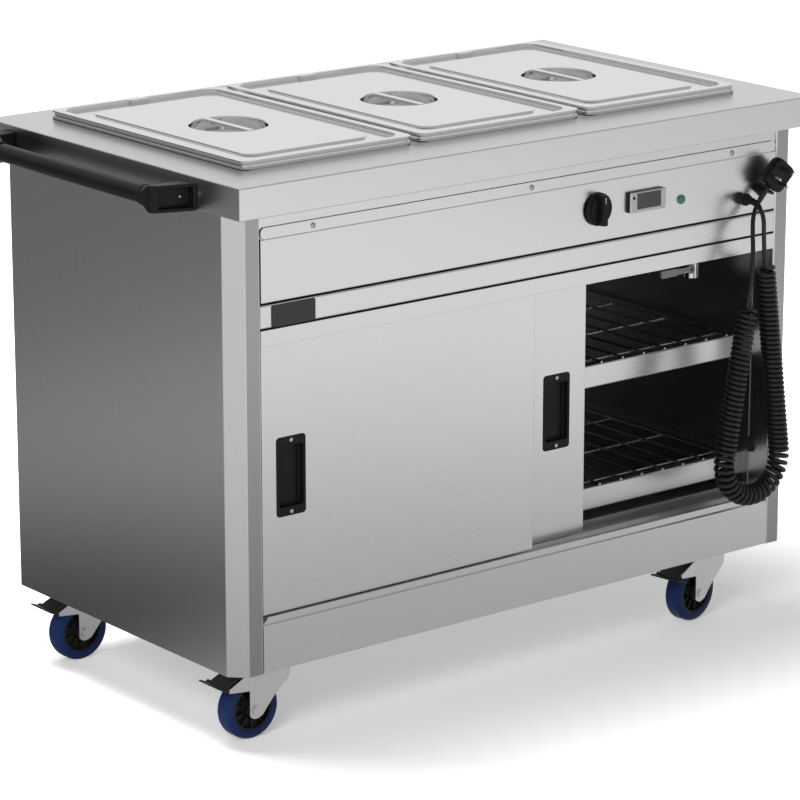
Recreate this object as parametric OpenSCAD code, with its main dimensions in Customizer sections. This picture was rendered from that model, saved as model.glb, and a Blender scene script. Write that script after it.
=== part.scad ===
// Mobile hot cupboard with a three-pan heated well in its top, on four braked swivel castors.
// Millimetres, +Z up, front towards -Y. The origin is on the floor under the middle of the footprint.

/* [Worktop] */
// Length of the worktop, left to right
top_w = 1180; // [1170:10:1240]
// Depth of the worktop, front to back
top_d = 690; // [680:5:710]
// Height of the worktop above the floor
top_h = 900; // [890:5:910]
// Height of the turned-down worktop edge
fascia_h = 50; // [44:1:56]

/* [Body] */
// How far the worktop end stands past the body side
side_overhang = 4; // [3:0.5:8]
// How far the worktop front stands past the body front
front_overhang = 28; // [26:1:32]
// How far the worktop back stands past the body back
back_overhang = 58; // [50:1:60]
// Height of the body's underside above the floor
base_z = 124; // [124:1:128]
// Width of the sloping corner between side and front
corner_cut = 25; // [22:1:28]
// Width of the flat strip between that corner and the doors
flange_w = 28; // [26:1:32]
// Thickness of the outer sheets
sheet = 1.5; // [1.2:0.1:2]
// Thickness of the inner sheets
thin = 1.2; // [1:0.1:1.5]

/* [Well and pans] */
// Distance from one pan to the next
pan_pitch = 345; // [343:1:348]
// Length of a pan over its rim
pan_l = 530; // [530:1:530]
// Width of a pan over its rim
pan_w = 325; // [325:1:325]
// Depth of a pan below the worktop
pan_deep = 150; // [100:10:150]
// Height of a lid's rim above the worktop
lid_up = 14; // [13:1:16]
// Middle of the pans behind the middle of the worktop
well_y = 20; // [16:1:20]

/* [Doors] */
// Width of one sliding door
door_w = 544; // [540:1:550]
// How far the right door stands open
right_open = 380; // [0:10:500]

/* [Castors] */
// Wheel diameter
wheel_d = 100; // [100:1:100]
// Distance from the swivel axis to the wheel axle
castor_trail = 54; // [54:1:54]
// Distance of the swivel axes from the middle, left and right
castor_x = 465; // [455:5:470]
// Distance of the swivel axes from their middle, front and back
castor_y = 238; // [230:2:238]

/* [Cord] */
// Thickness of the mains lead
cord_d = 7.6; // [7:0.1:7.6]
// Radius of the curls to the middle of the lead
curl_r = 14; // [13.5:0.5:14.5]

/* [Hidden] */
$fn = 48;

// Push handle: how far its outside and its bar's middle stand out of the worktop end
handle_out = 67;
bar_r = 14.5;
collar_r = 17;
bar_out = handle_out - collar_r;
handle_z = top_h - 30;
handle_y = 26;
handle_half = 263;
bar_half = 197;
bar_in = 6;
collar_l = 8;
bracket_h = 42;
arm_w = 34;
pocket_h = 31;
// The handle stands out on the left only, so the worktop's middle is right of the origin
mid_x = handle_out / 2;

// Body faces
half_w = top_w / 2;
half_d = top_d / 2;
under_top = top_h - sheet;
side_x = half_w - side_overhang;
front_y = -half_d + front_overhang;
back_y = half_d - back_overhang;
jamb_x = side_x - corner_cut - flange_w;
in_x = jamb_x - thin;

// Heights of the front, from the bottom up
plinth_z = base_z + 78;
plinth_top = plinth_z + 10.5;
plinth_back = 1.5;
plinth_cut = 11;
track_z = base_z + 79;
door_z0 = base_z + 89;
lip_z0 = top_h - 257;
lip_z1 = top_h - 231;
rail_z0 = top_h - 229;
rail_z1 = top_h - 192;
panel_z0 = top_h - 189;
panel_bend = top_h - 90;
panel_z1 = top_h - 73;
screw_z = top_h - 81.5;
screw_x = [-433, 0, 433];
rail_fold = 16;

// Doors: the left one slides in front of the right one
door_t = 16;
door_h = lip_z0 + 12 - door_z0;
front_door_y = front_y + 10;
rear_door_y = front_y + 32;
door_edge = jamb_x - 7;
pull_w = 56;
pull_h = 127;
pull_z = 430;
pull_in_left = 55;
pull_in_right = 62;
pull_t = 11;
buffer_z = 292;

// Inside of the cupboard
liner_y0 = front_y + 55;
liner_y1 = back_y - 54;
liner_lap = 8;
floor_z = base_z + 98;
ceiling_z = top_h - 255;
shelf_z = [273, 483];
rail_y = front_y + 67;
rail_h = 39;
runner_w = 14;
wire_d = 5;
wire_step = 47;
wire_n = 22;

// Lids: their outside, their channel and the raised middle inside it, and the hand recess
lid_w = 330;
lid_l = 530;
lid_t = 1;
channel_w = 306;
channel_l = 506;
middle_w = 238;
middle_l = 430;
cup_r = 63;
cup_deep = 19;
strip_w = 13;

// Well
well_w = 2 * pan_pitch + 305;
well_l = 510;
bar_w = pan_pitch - 305;
lip_h = 10;
tank_z = top_h - 172;
tank_gap = 3;
heater_d = 8;
heater_z = tank_z + 10;
heater_x = 430;
heater_r = 50;
heater_leg_r = 5.5;
heater_runs = [-3, -1, 1, 3];

// Heating rod in the cupboard: its two ends, its right end and the radius of its bends
element_z = floor_z + 18;
element_y = liner_y1 - 73;
element_ends = [-320, -240];
element_right = 300;
element_bend = 20;

// Drain: valve under the well, its lever turning on a stem at the valve's side
drain_x = 470;
drain_y = -185;
pipe_r = 11;
pipe_bore = 9;
valve_z = 579;
stem_x = drain_x - 16;
stem_z = valve_z + 18;
stem_r = 4;
lever_y = drain_y - 18;
lever_l = 68;

// Controls, as distances from the worktop's middle
face_y = front_y - 0.5;
knob_x = 138;
knob_z = top_h - 135;
knob_r = 27;
spindle_r = 3;
running_gap = 0.05;
display_x = 241;
display_z = top_h - 134;
key_x = display_x - 31.5;
key_z = display_z + 8;
lamp_x = 320;
lamp_z = top_h - 144;
gland_x = 457;
gland_z = top_h - 161.5;

// Castors: name, side, end, turn about the swivel axis and how far the pedal is pressed
castor_mid_y = -14.5;
castors = [["fl", -1, -1, 0, 0], ["fr", 1, -1, 8, 12], ["rl", -1, 1, 0, 0], ["rr", 1, 1, 0, 0]];
wheel_r = wheel_d / 2;
tyre_w = 32;
rim_r = 36;
hub_half = 20;
axle_r = 5;
pin_r = 6;
fork_half = 24;
fork_wall = 2.5;
plate_z = base_z - 3;
crown_z = plate_z - 5;
pedal_x = -66;
pedal_z = crown_z - 10;
pedal_pin_r = 3;

// Cord: hand-chosen points of the gland's boot, of the lead to the curls and of the lead to the plug
cord_r = cord_d / 2;
gland_boot = [[457, -336.5, 738.5], [457, -343, 738], [457, -350, 736.2], [457, -356, 733.2],
    [457, -361, 729]];
boot_r = [6.4, 6.1, 5.7, 5.2, 4.6];
gland_route = [[457, -361, 729], [457, -364.6, 725], [457.1, -367.4, 720.4], [457.1, -369.4, 715.4],
    [457.2, -370.6, 710], [457.4, -371, 704], [457.6, -371, 697], [458, -371, 689],
    [458.5, -371, 681], [459, -371, 673], [459.7, -370.9, 665], [460.5, -370.9, 657],
    [461.4, -370.8, 649]];
plug_route = [[430.6, -369, 592], [432.7, -368.8, 604], [434.8, -368.2, 616], [437, -367.2, 628],
    [439.3, -365.6, 640], [441.6, -363.4, 651], [444.1, -360.6, 662], [446.7, -357.4, 672],
    [449.4, -353.8, 681], [452.5, -350.2, 690], [455.7, -346.6, 698], [458.9, -343.4, 705],
    [462.5, -340.8, 712], [466.3, -339, 718.4], [470.2, -337.8, 724.2], [474, -337.2, 729.4],
    [477.7, -337, 734]];
plug_exit = [497, -337, 757];
plug_tilt = 40;
plug_lift = 8;
plug_boot_l = 30;

// Curls: they hang down on the right, round a wide bend and up again on the left
coil_y = -360;
loop_x = 454;
loop_z = 300;
loop_r = 63;
lean_right = 7.7;
lean_left = 10;
coil_top_right = 634;
coil_top_left = 568;
curls_right = 37;
curls_bend = 20;
curls_left = 28.25;
rings_per_curl = 8;
cord_sides = 6;
first_phase = -129.7;

// ---- Shared shapes ----

// Outline of a sheet of thickness t bent along a path, on the left of its direction
function unit(v) = v / norm(v);
function left_of(a, b) = let (d = unit(b - a)) [-d[1], d[0]];
function mitre(p, i, t) =
    let (n = len(p) - 1,
         a = left_of(p[max(i, 1) - 1], p[max(i, 1)]),
         b = left_of(p[min(i, n - 1)], p[min(i, n - 1) + 1]))
    p[i] + t * (a + b) / (1 + a * b);
function sheet_outline(p, t) =
    concat(p, [for (i = [len(p) - 1:-1:0]) mitre(p, i, t)]);

// A sheet bent along a path in the Y-Z plane, running from x0 to x1
module folded_along_x(path, x0, x1, t) {
    translate([x0, 0, 0]) rotate([90, 0, 90])
        linear_extrude(x1 - x0) polygon(sheet_outline(path, t));
}

// A sheet bent along a path in the X-Y plane, standing from z0 to z1
module folded_upright(path, z0, z1, t) {
    translate([0, 0, z0]) linear_extrude(z1 - z0) polygon(sheet_outline(path, t));
}

// An outline in the X-Z plane, from y0 back to y1
module profile_y(outline, y0, y1) {
    translate([0, y1, 0]) rotate([90, 0, 0]) linear_extrude(y1 - y0) polygon(outline);
}

module block(low, high) { translate(low) cube(high - low); }

module rounded(w, l, r) {
    square([w - 2 * r, l], center = true);
    square([w, l - 2 * r], center = true);
    for (x = [-1, 1], y = [-1, 1])
        translate([x * (w / 2 - r), y * (l / 2 - r)]) circle(r);
}

module rounded_plate(w, l, r, z0, z1) {
    translate([0, 0, z0]) linear_extrude(z1 - z0) rounded(w, l, r);
}

// A wall of thickness t standing round a rounded outline
module rounded_wall(w, l, r, t, z0, z1) {
    translate([0, 0, z0]) linear_extrude(z1 - z0) difference() {
        rounded(w, l, r);
        rounded(w - 2 * t, l - 2 * t, r - t);
    }
}

// Cylinders along Y and along X
module rod_y(x, z, r, y0, y1) {
    translate([x, y0, z]) rotate([-90, 0, 0]) cylinder(r = r, h = y1 - y0);
}
module rod_x(y, z, r, x0, x1) {
    translate([x0, y, z]) rotate([0, 90, 0]) cylinder(r = r, h = x1 - x0);
}

// A quarter or half bend of a rod, in the plane of X and Y
module rod_bend(x, y, z, bend_r, r, from, sweep) {
    translate([x, y, z]) rotate([0, 0, from])
        rotate_extrude(angle = sweep) translate([bend_r, 0]) circle(r);
}

// A tube of equal rings along a list of points, with a radius for each point
function along(p, i) = unit(p[min(i + 1, len(p) - 1)] - p[max(i - 1, 0)]);
function tube_ring(p, i, r, across, sides) =
    let (t = along(p, i),
         u = unit(across - t * (across * t)),
         v = cross(t, u))
    [for (k = [0:sides - 1]) p[i] + r * (cos(360 * k / sides) * u + sin(360 * k / sides) * v)];
function tube_faces(n, sides) = concat(
    [for (k = [1:sides - 2]) [0, k, k + 1]],
    [for (k = [1:sides - 2]) [(n - 1) * sides, (n - 1) * sides + k + 1, (n - 1) * sides + k]],
    [for (i = [0:n - 2], k = [0:sides - 1]) let (a = i * sides + k, b = i * sides + (k + 1) % sides)
        each [[a, a + sides, b], [b, a + sides, b + sides]]]);
module swept(p, radii, across, sides) {
    rings = [for (i = [0:len(p) - 1]) tube_ring(p, i, radii[i], across[i], sides)];
    polyhedron([for (r = rings) each r], tube_faces(len(p), sides));
}
module even_tube(p, r, across, sides) {
    swept(p, [for (q = p) r], [for (q = p) across], sides);
}

module placed() { translate([mid_x, 0, 0]) children(); }
module brushed() { color([0.72, 0.73, 0.74]) placed() children(); }
module zinc() { color([0.78, 0.78, 0.76]) children(); }
module dark_plastic() { color([0.06, 0.06, 0.065]) placed() children(); }

// ---- Worktop, well and pans ----

module worktop() brushed() difference() {
    union() {
        block([-half_w, -half_d, under_top], [half_w, half_d, top_h]);
        difference() {
            block([-half_w, -half_d, top_h - fascia_h], [half_w, half_d, top_h]);
            block([-half_w + sheet, -half_d + sheet, top_h - fascia_h - 1],
                [half_w - sheet, half_d - sheet, top_h + 1]);
        }
        for (y = [-half_d, half_d - 13])
            block([-half_w + 1, y, top_h - fascia_h],
                [half_w - 1, y + 13, top_h - fascia_h + sheet]);
        translate([0, well_y, 0])
            block([-well_w / 2 - sheet, -well_l / 2 - sheet, top_h - lip_h - sheet],
                [well_w / 2 + sheet, well_l / 2 + sheet, top_h]);
    }
    translate([0, well_y, 0])
        block([-well_w / 2, -well_l / 2, top_h - lip_h - 5], [well_w / 2, well_l / 2, top_h + 1]);
}

// Two bars across the opening carry the rims of neighbouring pans
module pan_bars() brushed()
    for (x = [-pan_pitch / 2, pan_pitch / 2])
        translate([x, well_y - well_l / 2, 0]) difference() {
            block([-bar_w / 2, 0, top_h - 12], [bar_w / 2, well_l, top_h]);
            block([-bar_w / 2 + sheet, -1, top_h - 13], [bar_w / 2 - sheet, well_l + 1, under_top]);
        }

module well_tank() brushed() {
    w = well_w / 2 + tank_gap;
    l = well_l / 2 + tank_gap;
    difference() {
        translate([0, well_y, 0]) difference() {
            union() {
                block([-w - thin, -l - thin, tank_z - thin], [w + thin, l + thin, under_top]);
                block([-w - 6, -l - 6, under_top - thin], [w + 6, l + 6, under_top]);
            }
            block([-w, -l, tank_z], [w, l, top_h]);
        }
        translate([drain_x, drain_y, tank_z - 10]) cylinder(r = pipe_bore, h = 20);
        for (k = heater_runs)
            translate([-heater_x, well_y + k * heater_r, tank_z - 10])
                cylinder(r = heater_leg_r, h = 20);
    }
}

// Gastronorm pan: flat rim on the bars, straight sides with wide corners
module gn_pan(x) color([0.75, 0.76, 0.77]) placed() translate([x, well_y, 0]) difference() {
    union() {
        rounded_plate(pan_w, pan_l, 16, top_h, top_h + 1);
        rounded_plate(300, 505, 38, top_h - pan_deep, top_h + 0.5);
    }
    rounded_plate(298, 503, 37, top_h - pan_deep + 1, top_h + 2);
}
module pan_left() { gn_pan(-pan_pitch); }
module pan_middle() { gn_pan(0); }
module pan_right() { gn_pan(pan_pitch); }

// Flat rim with a turned-down edge, a sunk channel, and a raised middle with a round hand recess
// that a grip strip crosses
module gn_lid(x) color([0.78, 0.79, 0.8]) placed() translate([x, well_y, top_h]) {
    channel_z = lid_up - 6;
    middle_z = channel_z + 3;
    difference() {
        union() {
            rounded_plate(lid_w, lid_l, 14, lid_up - lid_t, lid_up);
            rounded_wall(lid_w, lid_l, 14, lid_t, lid_t, lid_up);
            rounded_plate(channel_w, channel_l, 26, channel_z - lid_t, lid_up);
        }
        rounded_plate(channel_w - 2 * lid_t, channel_l - 2 * lid_t, 25, channel_z, lid_up + 1);
        rounded_plate(middle_w - 2 * lid_t, middle_l - 2 * lid_t, 21, 0, lid_up);
    }
    difference() {
        rounded_plate(middle_w, middle_l, 22, channel_z - lid_t, middle_z);
        rounded_plate(middle_w - 2 * lid_t, middle_l - 2 * lid_t, 21, 0, middle_z - lid_t);
        cylinder(r = cup_r, h = lid_up);
    }
    difference() {
        translate([0, 0, -cup_deep]) cylinder(r = cup_r + lid_t, h = middle_z + cup_deep);
        translate([0, 0, lid_t - cup_deep]) cylinder(r = cup_r, h = lid_up + cup_deep);
    }
    block([-strip_w / 2, -cup_r - lid_t / 2, middle_z - lid_t],
        [strip_w / 2, cup_r + lid_t / 2, middle_z + lid_t / 2]);
}
module lid_left() { gn_lid(-pan_pitch); }
module lid_middle() { gn_lid(0); }
module lid_right() { gn_lid(pan_pitch); }

// ---- Body ----

// Side sheet with its sloping front corner, front strip and door jamb in one fold
side_path = [[-side_x, back_y], [-side_x, front_y + corner_cut], [-side_x + corner_cut, front_y],
    [-jamb_x, front_y], [-jamb_x, liner_y0]];
module left_side() brushed() folded_upright(side_path, base_z, under_top, sheet);
module right_side() brushed() mirror([1, 0, 0]) folded_upright(side_path, base_z, under_top, sheet);

module back_panel() brushed()
    block([-side_x + sheet, back_y - sheet, base_z], [side_x - sheet, back_y, under_top]);

module base_plate() brushed()
    block([-side_x + sheet, liner_y0, base_z], [side_x - sheet, back_y - sheet, base_z + sheet]);

// Front plinth: its top steps back a little under the doors, and its upper corners are cut off
module plinth() brushed() difference() {
    folded_along_x([[liner_y0, base_z], [front_y, base_z], [front_y, plinth_z],
        [front_y + plinth_back, plinth_z + plinth_back], [front_y + plinth_back, plinth_top]],
        -jamb_x, jamb_x, -sheet);
    for (s = [-1, 1])
        profile_y([[s * (jamb_x + 1), plinth_z], [s * (jamb_x + 1), plinth_top + 1],
            [s * (jamb_x - plinth_cut), plinth_top + 1]], front_y - 1, front_y + 4);
}

// Bottom track with a rib under each door, and top track with a slot for each door
module door_tracks() brushed() {
    folded_along_x([[front_y + 4, track_z], [liner_y0, track_z]], -jamb_x, jamb_x, sheet);
    for (y = [front_door_y, rear_door_y])
        block([-jamb_x, y + door_t / 2 - 1, track_z + sheet],
            [jamb_x, y + door_t / 2 + 1, track_z + 6]);
    difference() {
        block([-jamb_x, front_y, lip_z0], [jamb_x, liner_y0, lip_z1]);
        block([-jamb_x - 1, front_y + sheet, lip_z0 - 1],
            [jamb_x + 1, rear_door_y - 4, lip_z1 - sheet]);
        block([-jamb_x - 1, rear_door_y - 2.5, lip_z0 - 1],
            [jamb_x + 1, liner_y0 - sheet, lip_z1 - sheet]);
    }
}

// Cross rail over the doors, and the rail under the worktop that the control panel screws to
module front_rails() brushed() {
    folded_along_x([[front_y + rail_fold, rail_z1], [front_y + 0.8, rail_z1],
        [front_y + 0.8, rail_z0], [front_y + rail_fold, rail_z0]], -jamb_x, jamb_x, sheet);
    difference() {
        folded_along_x([[front_y + rail_fold, under_top], [front_y + 3, under_top],
            [front_y + 3, panel_bend + 1]], -jamb_x, jamb_x, sheet);
        for (x = screw_x)
            rod_y(x, screw_z, 2.1, front_y, front_y + 10);
    }
}

module badge_plate() color([0.08, 0.08, 0.085]) placed()
    block([-512, front_y - 1.2, rail_z0 + 0.5], [-430, front_y + 0.8, rail_z1 - 2]);

// ---- Controls ----

module control_panel() brushed() {
    path = [[front_y + 1.5, panel_z1], [front_y + 1.5, panel_bend + 1.5], [face_y, panel_bend - 1],
        [face_y, panel_z0], [front_y + 14, panel_z0]];
    difference() {
        folded_along_x(path, -jamb_x + 1.5, jamb_x - 1.5, sheet);
        for (x = screw_x)
            rod_y(x, screw_z, 2.1, front_y - 5, front_y + 10);
        rod_y(knob_x, knob_z, 5, front_y - 5, front_y + 5);
        rod_y(lamp_x, lamp_z, 5.6, front_y - 5, front_y + 5);
        rod_y(gland_x, gland_z, 8.1, front_y - 5, front_y + 5);
        block([display_x - 35.5, front_y - 5, display_z - 14.5],
            [display_x + 35.5, front_y + 5, display_z + 14.5]);
    }
}

module panel_screws() color([0.6, 0.6, 0.61]) placed()
    for (x = screw_x) {
        rod_y(x, screw_z, 2, front_y - 0.5, front_y + 6);
        intersection() {
            translate([x, front_y + 3.9, screw_z]) sphere(6);
            rod_y(x, screw_z, 4.6, front_y - 3, front_y + 1.5);
        }
    }

module thermostat() color([0.5, 0.5, 0.5]) placed() {
    block([knob_x - 18, face_y + sheet, knob_z - 18], [knob_x + 18, face_y + 32, knob_z + 18]);
    rod_y(knob_x, knob_z, spindle_r, face_y - 18, face_y + 3);
}

module knob() dark_plastic() difference() {
    union() {
        rod_y(knob_x, knob_z, knob_r, face_y - 6, face_y - 2);
        rod_y(knob_x, knob_z, knob_r - 5, face_y - 11, face_y - 5);
        intersection() {
            block([knob_x - 7, face_y - 21, knob_z - 30], [knob_x + 7, face_y - 5, knob_z + 30]);
            rod_y(knob_x, knob_z, knob_r - 1, face_y - 22, face_y);
        }
    }
    rod_y(knob_x, knob_z, spindle_r + running_gap, face_y - 18.2, face_y);
}

// Temperature display: bezel with a sunk screen, and its housing behind the panel
module display() color([0.55, 0.56, 0.57]) placed() difference() {
    union() {
        block([display_x - 38.5, face_y - 8.5, display_z - 17],
            [display_x + 38.5, face_y, display_z + 17]);
        block([display_x - 35, face_y - 1, display_z - 14],
            [display_x + 35, face_y + 50, display_z + 14]);
    }
    block([display_x - 24, face_y - 9, display_z - 11],
        [display_x + 28, face_y - 7.7, display_z + 15]);
    rod_y(key_x, key_z, 2.6, face_y - 10, face_y - 3);
}
module display_key() dark_plastic() rod_y(key_x, key_z, 2.5, face_y - 9.5, face_y - 4.5);

module indicator_lamp() color([0.1, 0.5, 0.3]) placed() {
    rod_y(lamp_x, lamp_z, 5.5, face_y - 1, face_y + 22);
    rod_y(lamp_x, lamp_z, 8, face_y - 2.5, face_y);
    intersection() {
        translate([lamp_x, face_y + 3, lamp_z]) sphere(9);
        rod_y(lamp_x, lamp_z, 6.4, face_y - 7, face_y - 1);
    }
}

// ---- Cord ----

// Gland nut, dome and a short boot that droops with the lead
module cable_gland() dark_plastic() {
    rod_y(gland_x, gland_z, 8, face_y - 1, face_y + 12);
    rod_y(gland_x, gland_z, 11, face_y - 11, face_y);
    translate([gland_x, face_y - 19.5, gland_z]) rotate([-90, 0, 0])
        cylinder(r1 = 7.5, r2 = 10.5, h = 9);
    swept(gland_boot, boot_r, [for (p = gland_boot) [1, 0, 0]], 12);
}

// Forked rest under the plug, its slot open to the front
module cord_hook() dark_plastic()
    translate(plug_exit) rotate([0, plug_tilt, 0]) {
        back = face_y - plug_exit[1];
        difference() {
            block([-15, -6, -6], [15, back, -2.2]);
            block([-6, -7, -7], [6, 0, 0]);
            translate([0, 0, -7]) cylinder(r = 6, h = 7);
        }
        block([-15, back - 3, -15], [15, back, -2.2]);
    }

module gland_lead() dark_plastic()
    even_tube(concat(gland_route, [curl_points[0]]), cord_r, [1, 0, 0], 8);

module plug_lead() dark_plastic()
    even_tube(concat([curl_points[len(curl_points) - 1]], plug_route), cord_r, [0, 1, 0], 8);

// Middle line of the curls: a run down the right, a bend and a run up the left
right_l = (coil_top_right - loop_z - loop_r * sin(lean_right)) / cos(lean_right);
left_l = (coil_top_left - loop_z - loop_r * sin(lean_left)) / cos(lean_left);
bend_a = 180 + lean_right + lean_left;
pitch_right = right_l / (curls_right + 2);
pitch_left = left_l / (curls_left + 2);
function out_dir(a) = [cos(a), 0, sin(a)];
function loop_at(a) = [loop_x, coil_y, loop_z] + loop_r * out_dir(a);
function axis_right(s) = loop_at(lean_right) + (right_l - s) * [-sin(lean_right), 0, cos(lean_right)];
function axis_left(s) = loop_at(180 - lean_left) + s * [sin(lean_left), 0, cos(lean_left)];
function curl_at(middle, out, turn) =
    middle + curl_r * (cos(first_phase + 360 * turn) * out_dir(out)
        + sin(first_phase + 360 * turn) * [0, 1, 0]);
// A curl opens out from the straight end over one turn, and closes to it again over the last
function right_at(turn) =
    let (s = turn < 1 ? 2 * pitch_right * sqrt(turn) : pitch_right * (turn + 1))
    curl_at(axis_right(s), lean_right, turn);
function bend_at(turn) =
    let (a = lean_right - bend_a * turn / curls_bend)
    curl_at(loop_at(a), a, turn + curls_right + 1);
function left_at(turn) =
    let (rest = curls_left + 1 - turn,
         s = rest < 1 ? left_l - 2 * pitch_left * sqrt(rest) : pitch_left * turn)
    curl_at(axis_left(s), 180 - lean_left, turn + curls_right + 1 + curls_bend);
curl_total = curls_right + 1 + curls_bend + curls_left + 1;
curl_points = concat(
    [curl_at(axis_right(-cord_d), lean_right, 0)],
    [for (i = [0:rings_per_curl * (curls_right + 1)]) right_at(i / rings_per_curl)],
    [for (i = [1:rings_per_curl * curls_bend]) bend_at(i / rings_per_curl)],
    [for (i = [1:rings_per_curl * (curls_left + 1)]) left_at(i / rings_per_curl)],
    [curl_at(axis_left(left_l + cord_d), 180 - lean_left, curl_total)]);

// Least gap of the curls to themselves: the distance between points more than half a curl apart
function least_gap(p) = min([for (i = [0:len(p) - 1])
    min(concat([1000], [for (k = [i + rings_per_curl / 2 + 1:1:min(i + 3 * rings_per_curl, len(p) - 1)])
        norm(p[i] - p[k])]))]) - cord_d;

module curly_cord() dark_plastic() {
    echo(least_gap_of_curls = least_gap(curl_points));
    even_tube(curl_points, cord_r, [0.31, 0.9, 0.31], cord_sides);
}

// Three-pin plug with its rounded body, finger ledges, pins and tapered boot
module plug() dark_plastic() translate(plug_exit) rotate([0, plug_tilt, 0]) {
    rotate([plug_lift, 0, 0]) {
        difference() {
            translate([0, 11, 25]) rotate([90, 0, 0]) rounded_plate(46, 50, 11, 0, 22);
            for (s = [-1, 1])
                block([s * 27 - 8, 2, 14], [s * 27 + 8, 12, 36]);
        }
        block([-2, -11 - 22.7, 34], [2, -10, 42]);
        for (x = [-11.1, 11.1])
            block([x - 3.2, -11 - 17.7, 14], [x + 3.2, -10, 18]);
    }
    translate([0, 0, -plug_boot_l]) cylinder(r1 = 4.6, r2 = 5.8, h = plug_boot_l + 1.5);
}

// ---- Push handle ----

module handle_bar() dark_plastic()
    rod_y(-half_w - bar_out, handle_z, bar_r, handle_y - bar_half - bar_in,
        handle_y + bar_half + bar_in);

// Moulded end brackets: an arm stands out of the worktop's end, with a pocket for its screw in
// front, and it narrows to a collar round the bar
module handle_bracket() {
    outer = -half_w - handle_out;
    y0 = handle_y - handle_half;
    y1 = handle_y - bar_half;
    z0 = handle_z - bracket_h / 2;
    difference() {
        union() {
            translate([0, 0, z0]) linear_extrude(bracket_h)
                polygon([[-half_w, y0], [outer + 6, y0 + 20], [outer, y0 + 27], [outer, y0 + arm_w],
                    [outer + 2 * collar_r, y0 + arm_w], [-half_w - 12, y0 + 32], [-half_w, y0 + 28]]);
            hull() {
                block([outer, y0 + arm_w - 8, z0],
                    [outer + 2 * collar_r, y0 + arm_w, z0 + bracket_h]);
                rod_y(-half_w - bar_out, handle_z, collar_r, y1 - collar_l, y1);
            }
        }
        rod_y(-half_w - bar_out, handle_z, bar_r, y1 - bar_in, y1 + 1);
        translate([0, 0, handle_z - pocket_h / 2]) linear_extrude(pocket_h)
            polygon([[-half_w - 5, y0 - 1], [-half_w - 5, y0 + 18], [outer + 10, y0 + 27],
                [outer + 10, y0 + 10]]);
    }
}
module handle_brackets() dark_plastic() {
    handle_bracket();
    translate([0, 2 * handle_y, 0]) mirror([0, 1, 0]) handle_bracket();
}

// ---- Inside of the cupboard ----

// Its front edges lap the jambs and are cut short under the top track
module liner() brushed() difference() {
    folded_upright([[-jamb_x, liner_y0 - liner_lap], [-jamb_x, liner_y1], [jamb_x, liner_y1],
        [jamb_x, liner_y0 - liner_lap]], track_z + sheet, ceiling_z + 15, -thin);
    block([-half_w, liner_y0 - liner_lap - 1, lip_z0 - 1], [half_w, liner_y0, under_top]);
    for (x = element_ends)
        rod_y(x, element_z, heater_d / 2 + 0.5, liner_y1 - 5, liner_y1 + 5);
}

module cupboard_floor() brushed()
    folded_along_x([[liner_y1 - thin, floor_z], [liner_y0, floor_z], [liner_y0, track_z + sheet]],
        -in_x, in_x, thin);

module cupboard_ceiling() brushed() difference() {
    folded_along_x([[liner_y1 - thin, ceiling_z], [liner_y0, ceiling_z], [liner_y0, lip_z1 - 1]],
        -in_x, in_x, -thin);
    translate([drain_x, drain_y, ceiling_z - 5]) cylinder(r = pipe_r + 0.5, h = 10);
}

// For each shelf a front rail, a rear rail and a runner at each end
module shelf_supports() brushed() for (z = shelf_z) {
    folded_along_x([[rail_y + runner_w, z], [rail_y, z], [rail_y, z - rail_h],
        [rail_y + runner_w, z - rail_h]], -in_x, in_x, sheet);
    folded_along_x([[liner_y1 - thin, z - 20], [liner_y1 - thin, z],
        [liner_y1 - thin - runner_w, z]], -in_x, in_x, sheet);
    for (s = [-1, 1])
        block([s * (in_x - runner_w / 2) - runner_w / 2, rail_y + runner_w - 2, z - sheet],
            [s * (in_x - runner_w / 2) + runner_w / 2, liner_y1 - thin - runner_w + 2, z]);
}

// Wire rack: long wires from front to back on four cross wires
module wire_rack(z) color([0.8, 0.81, 0.82]) placed() {
    y0 = rail_y - 2;
    y1 = liner_y1 - 8;
    for (i = [0:wire_n - 1])
        translate([(i - (wire_n - 1) / 2) * wire_step, y0, z + wire_d / 2]) rotate([-90, 0, 0])
            cylinder(d = wire_d, h = y1 - y0, $fn = 8);
    for (k = [0:3])
        translate([-wire_step * (wire_n - 1) / 2 - 10, rail_y + 30 + k * 134, z - wire_d / 2 + 0.8])
            rotate([0, 90, 0]) cylinder(d = wire_d, h = wire_step * (wire_n - 1) + 20, $fn = 8);
}
module upper_rack() { wire_rack(shelf_z[1]); }
module lower_rack() { wire_rack(shelf_z[0]); }

// Heating rods in the well: two hairpins, their ends going down through the floor
module well_element() color([0.35, 0.33, 0.31]) placed() {
    r = heater_d / 2;
    for (k = heater_runs) {
        rod_x(well_y + k * heater_r, heater_z, r, -heater_x, heater_x);
        translate([-heater_x, well_y + k * heater_r, tank_z - 16])
            cylinder(r = heater_leg_r, h = heater_z + heater_leg_r - tank_z + 16);
    }
    for (k = [-2, 2])
        rod_bend(heater_x, well_y + k * heater_r, heater_z, heater_r, r, -90, 180);
}

// Heating rod on the cupboard's floor, its ends going back through the liner
module cupboard_element() color([0.35, 0.33, 0.31]) placed() {
    r = heater_d / 2;
    z = element_z;
    y = element_y;
    bend = element_bend;
    rod_x(y, z, r, element_ends[0] + bend, element_right);
    rod_bend(element_right, y + bend, z, bend, r, -90, 180);
    rod_x(y + 2 * bend, z, r, element_ends[1] + bend, element_right);
    for (k = [0, 1]) {
        rod_bend(element_ends[k] + bend, y + (2 * k + 1) * bend, z, bend, r, 180, 90);
        rod_y(element_ends[k], z, r, y + (2 * k + 1) * bend, liner_y1 + 12);
    }
    for (x = [-150, 150])
        block([x - 1.5, y - 6, floor_z], [x + 1.5, y + 2 * bend + 6, z]);
}

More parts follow.
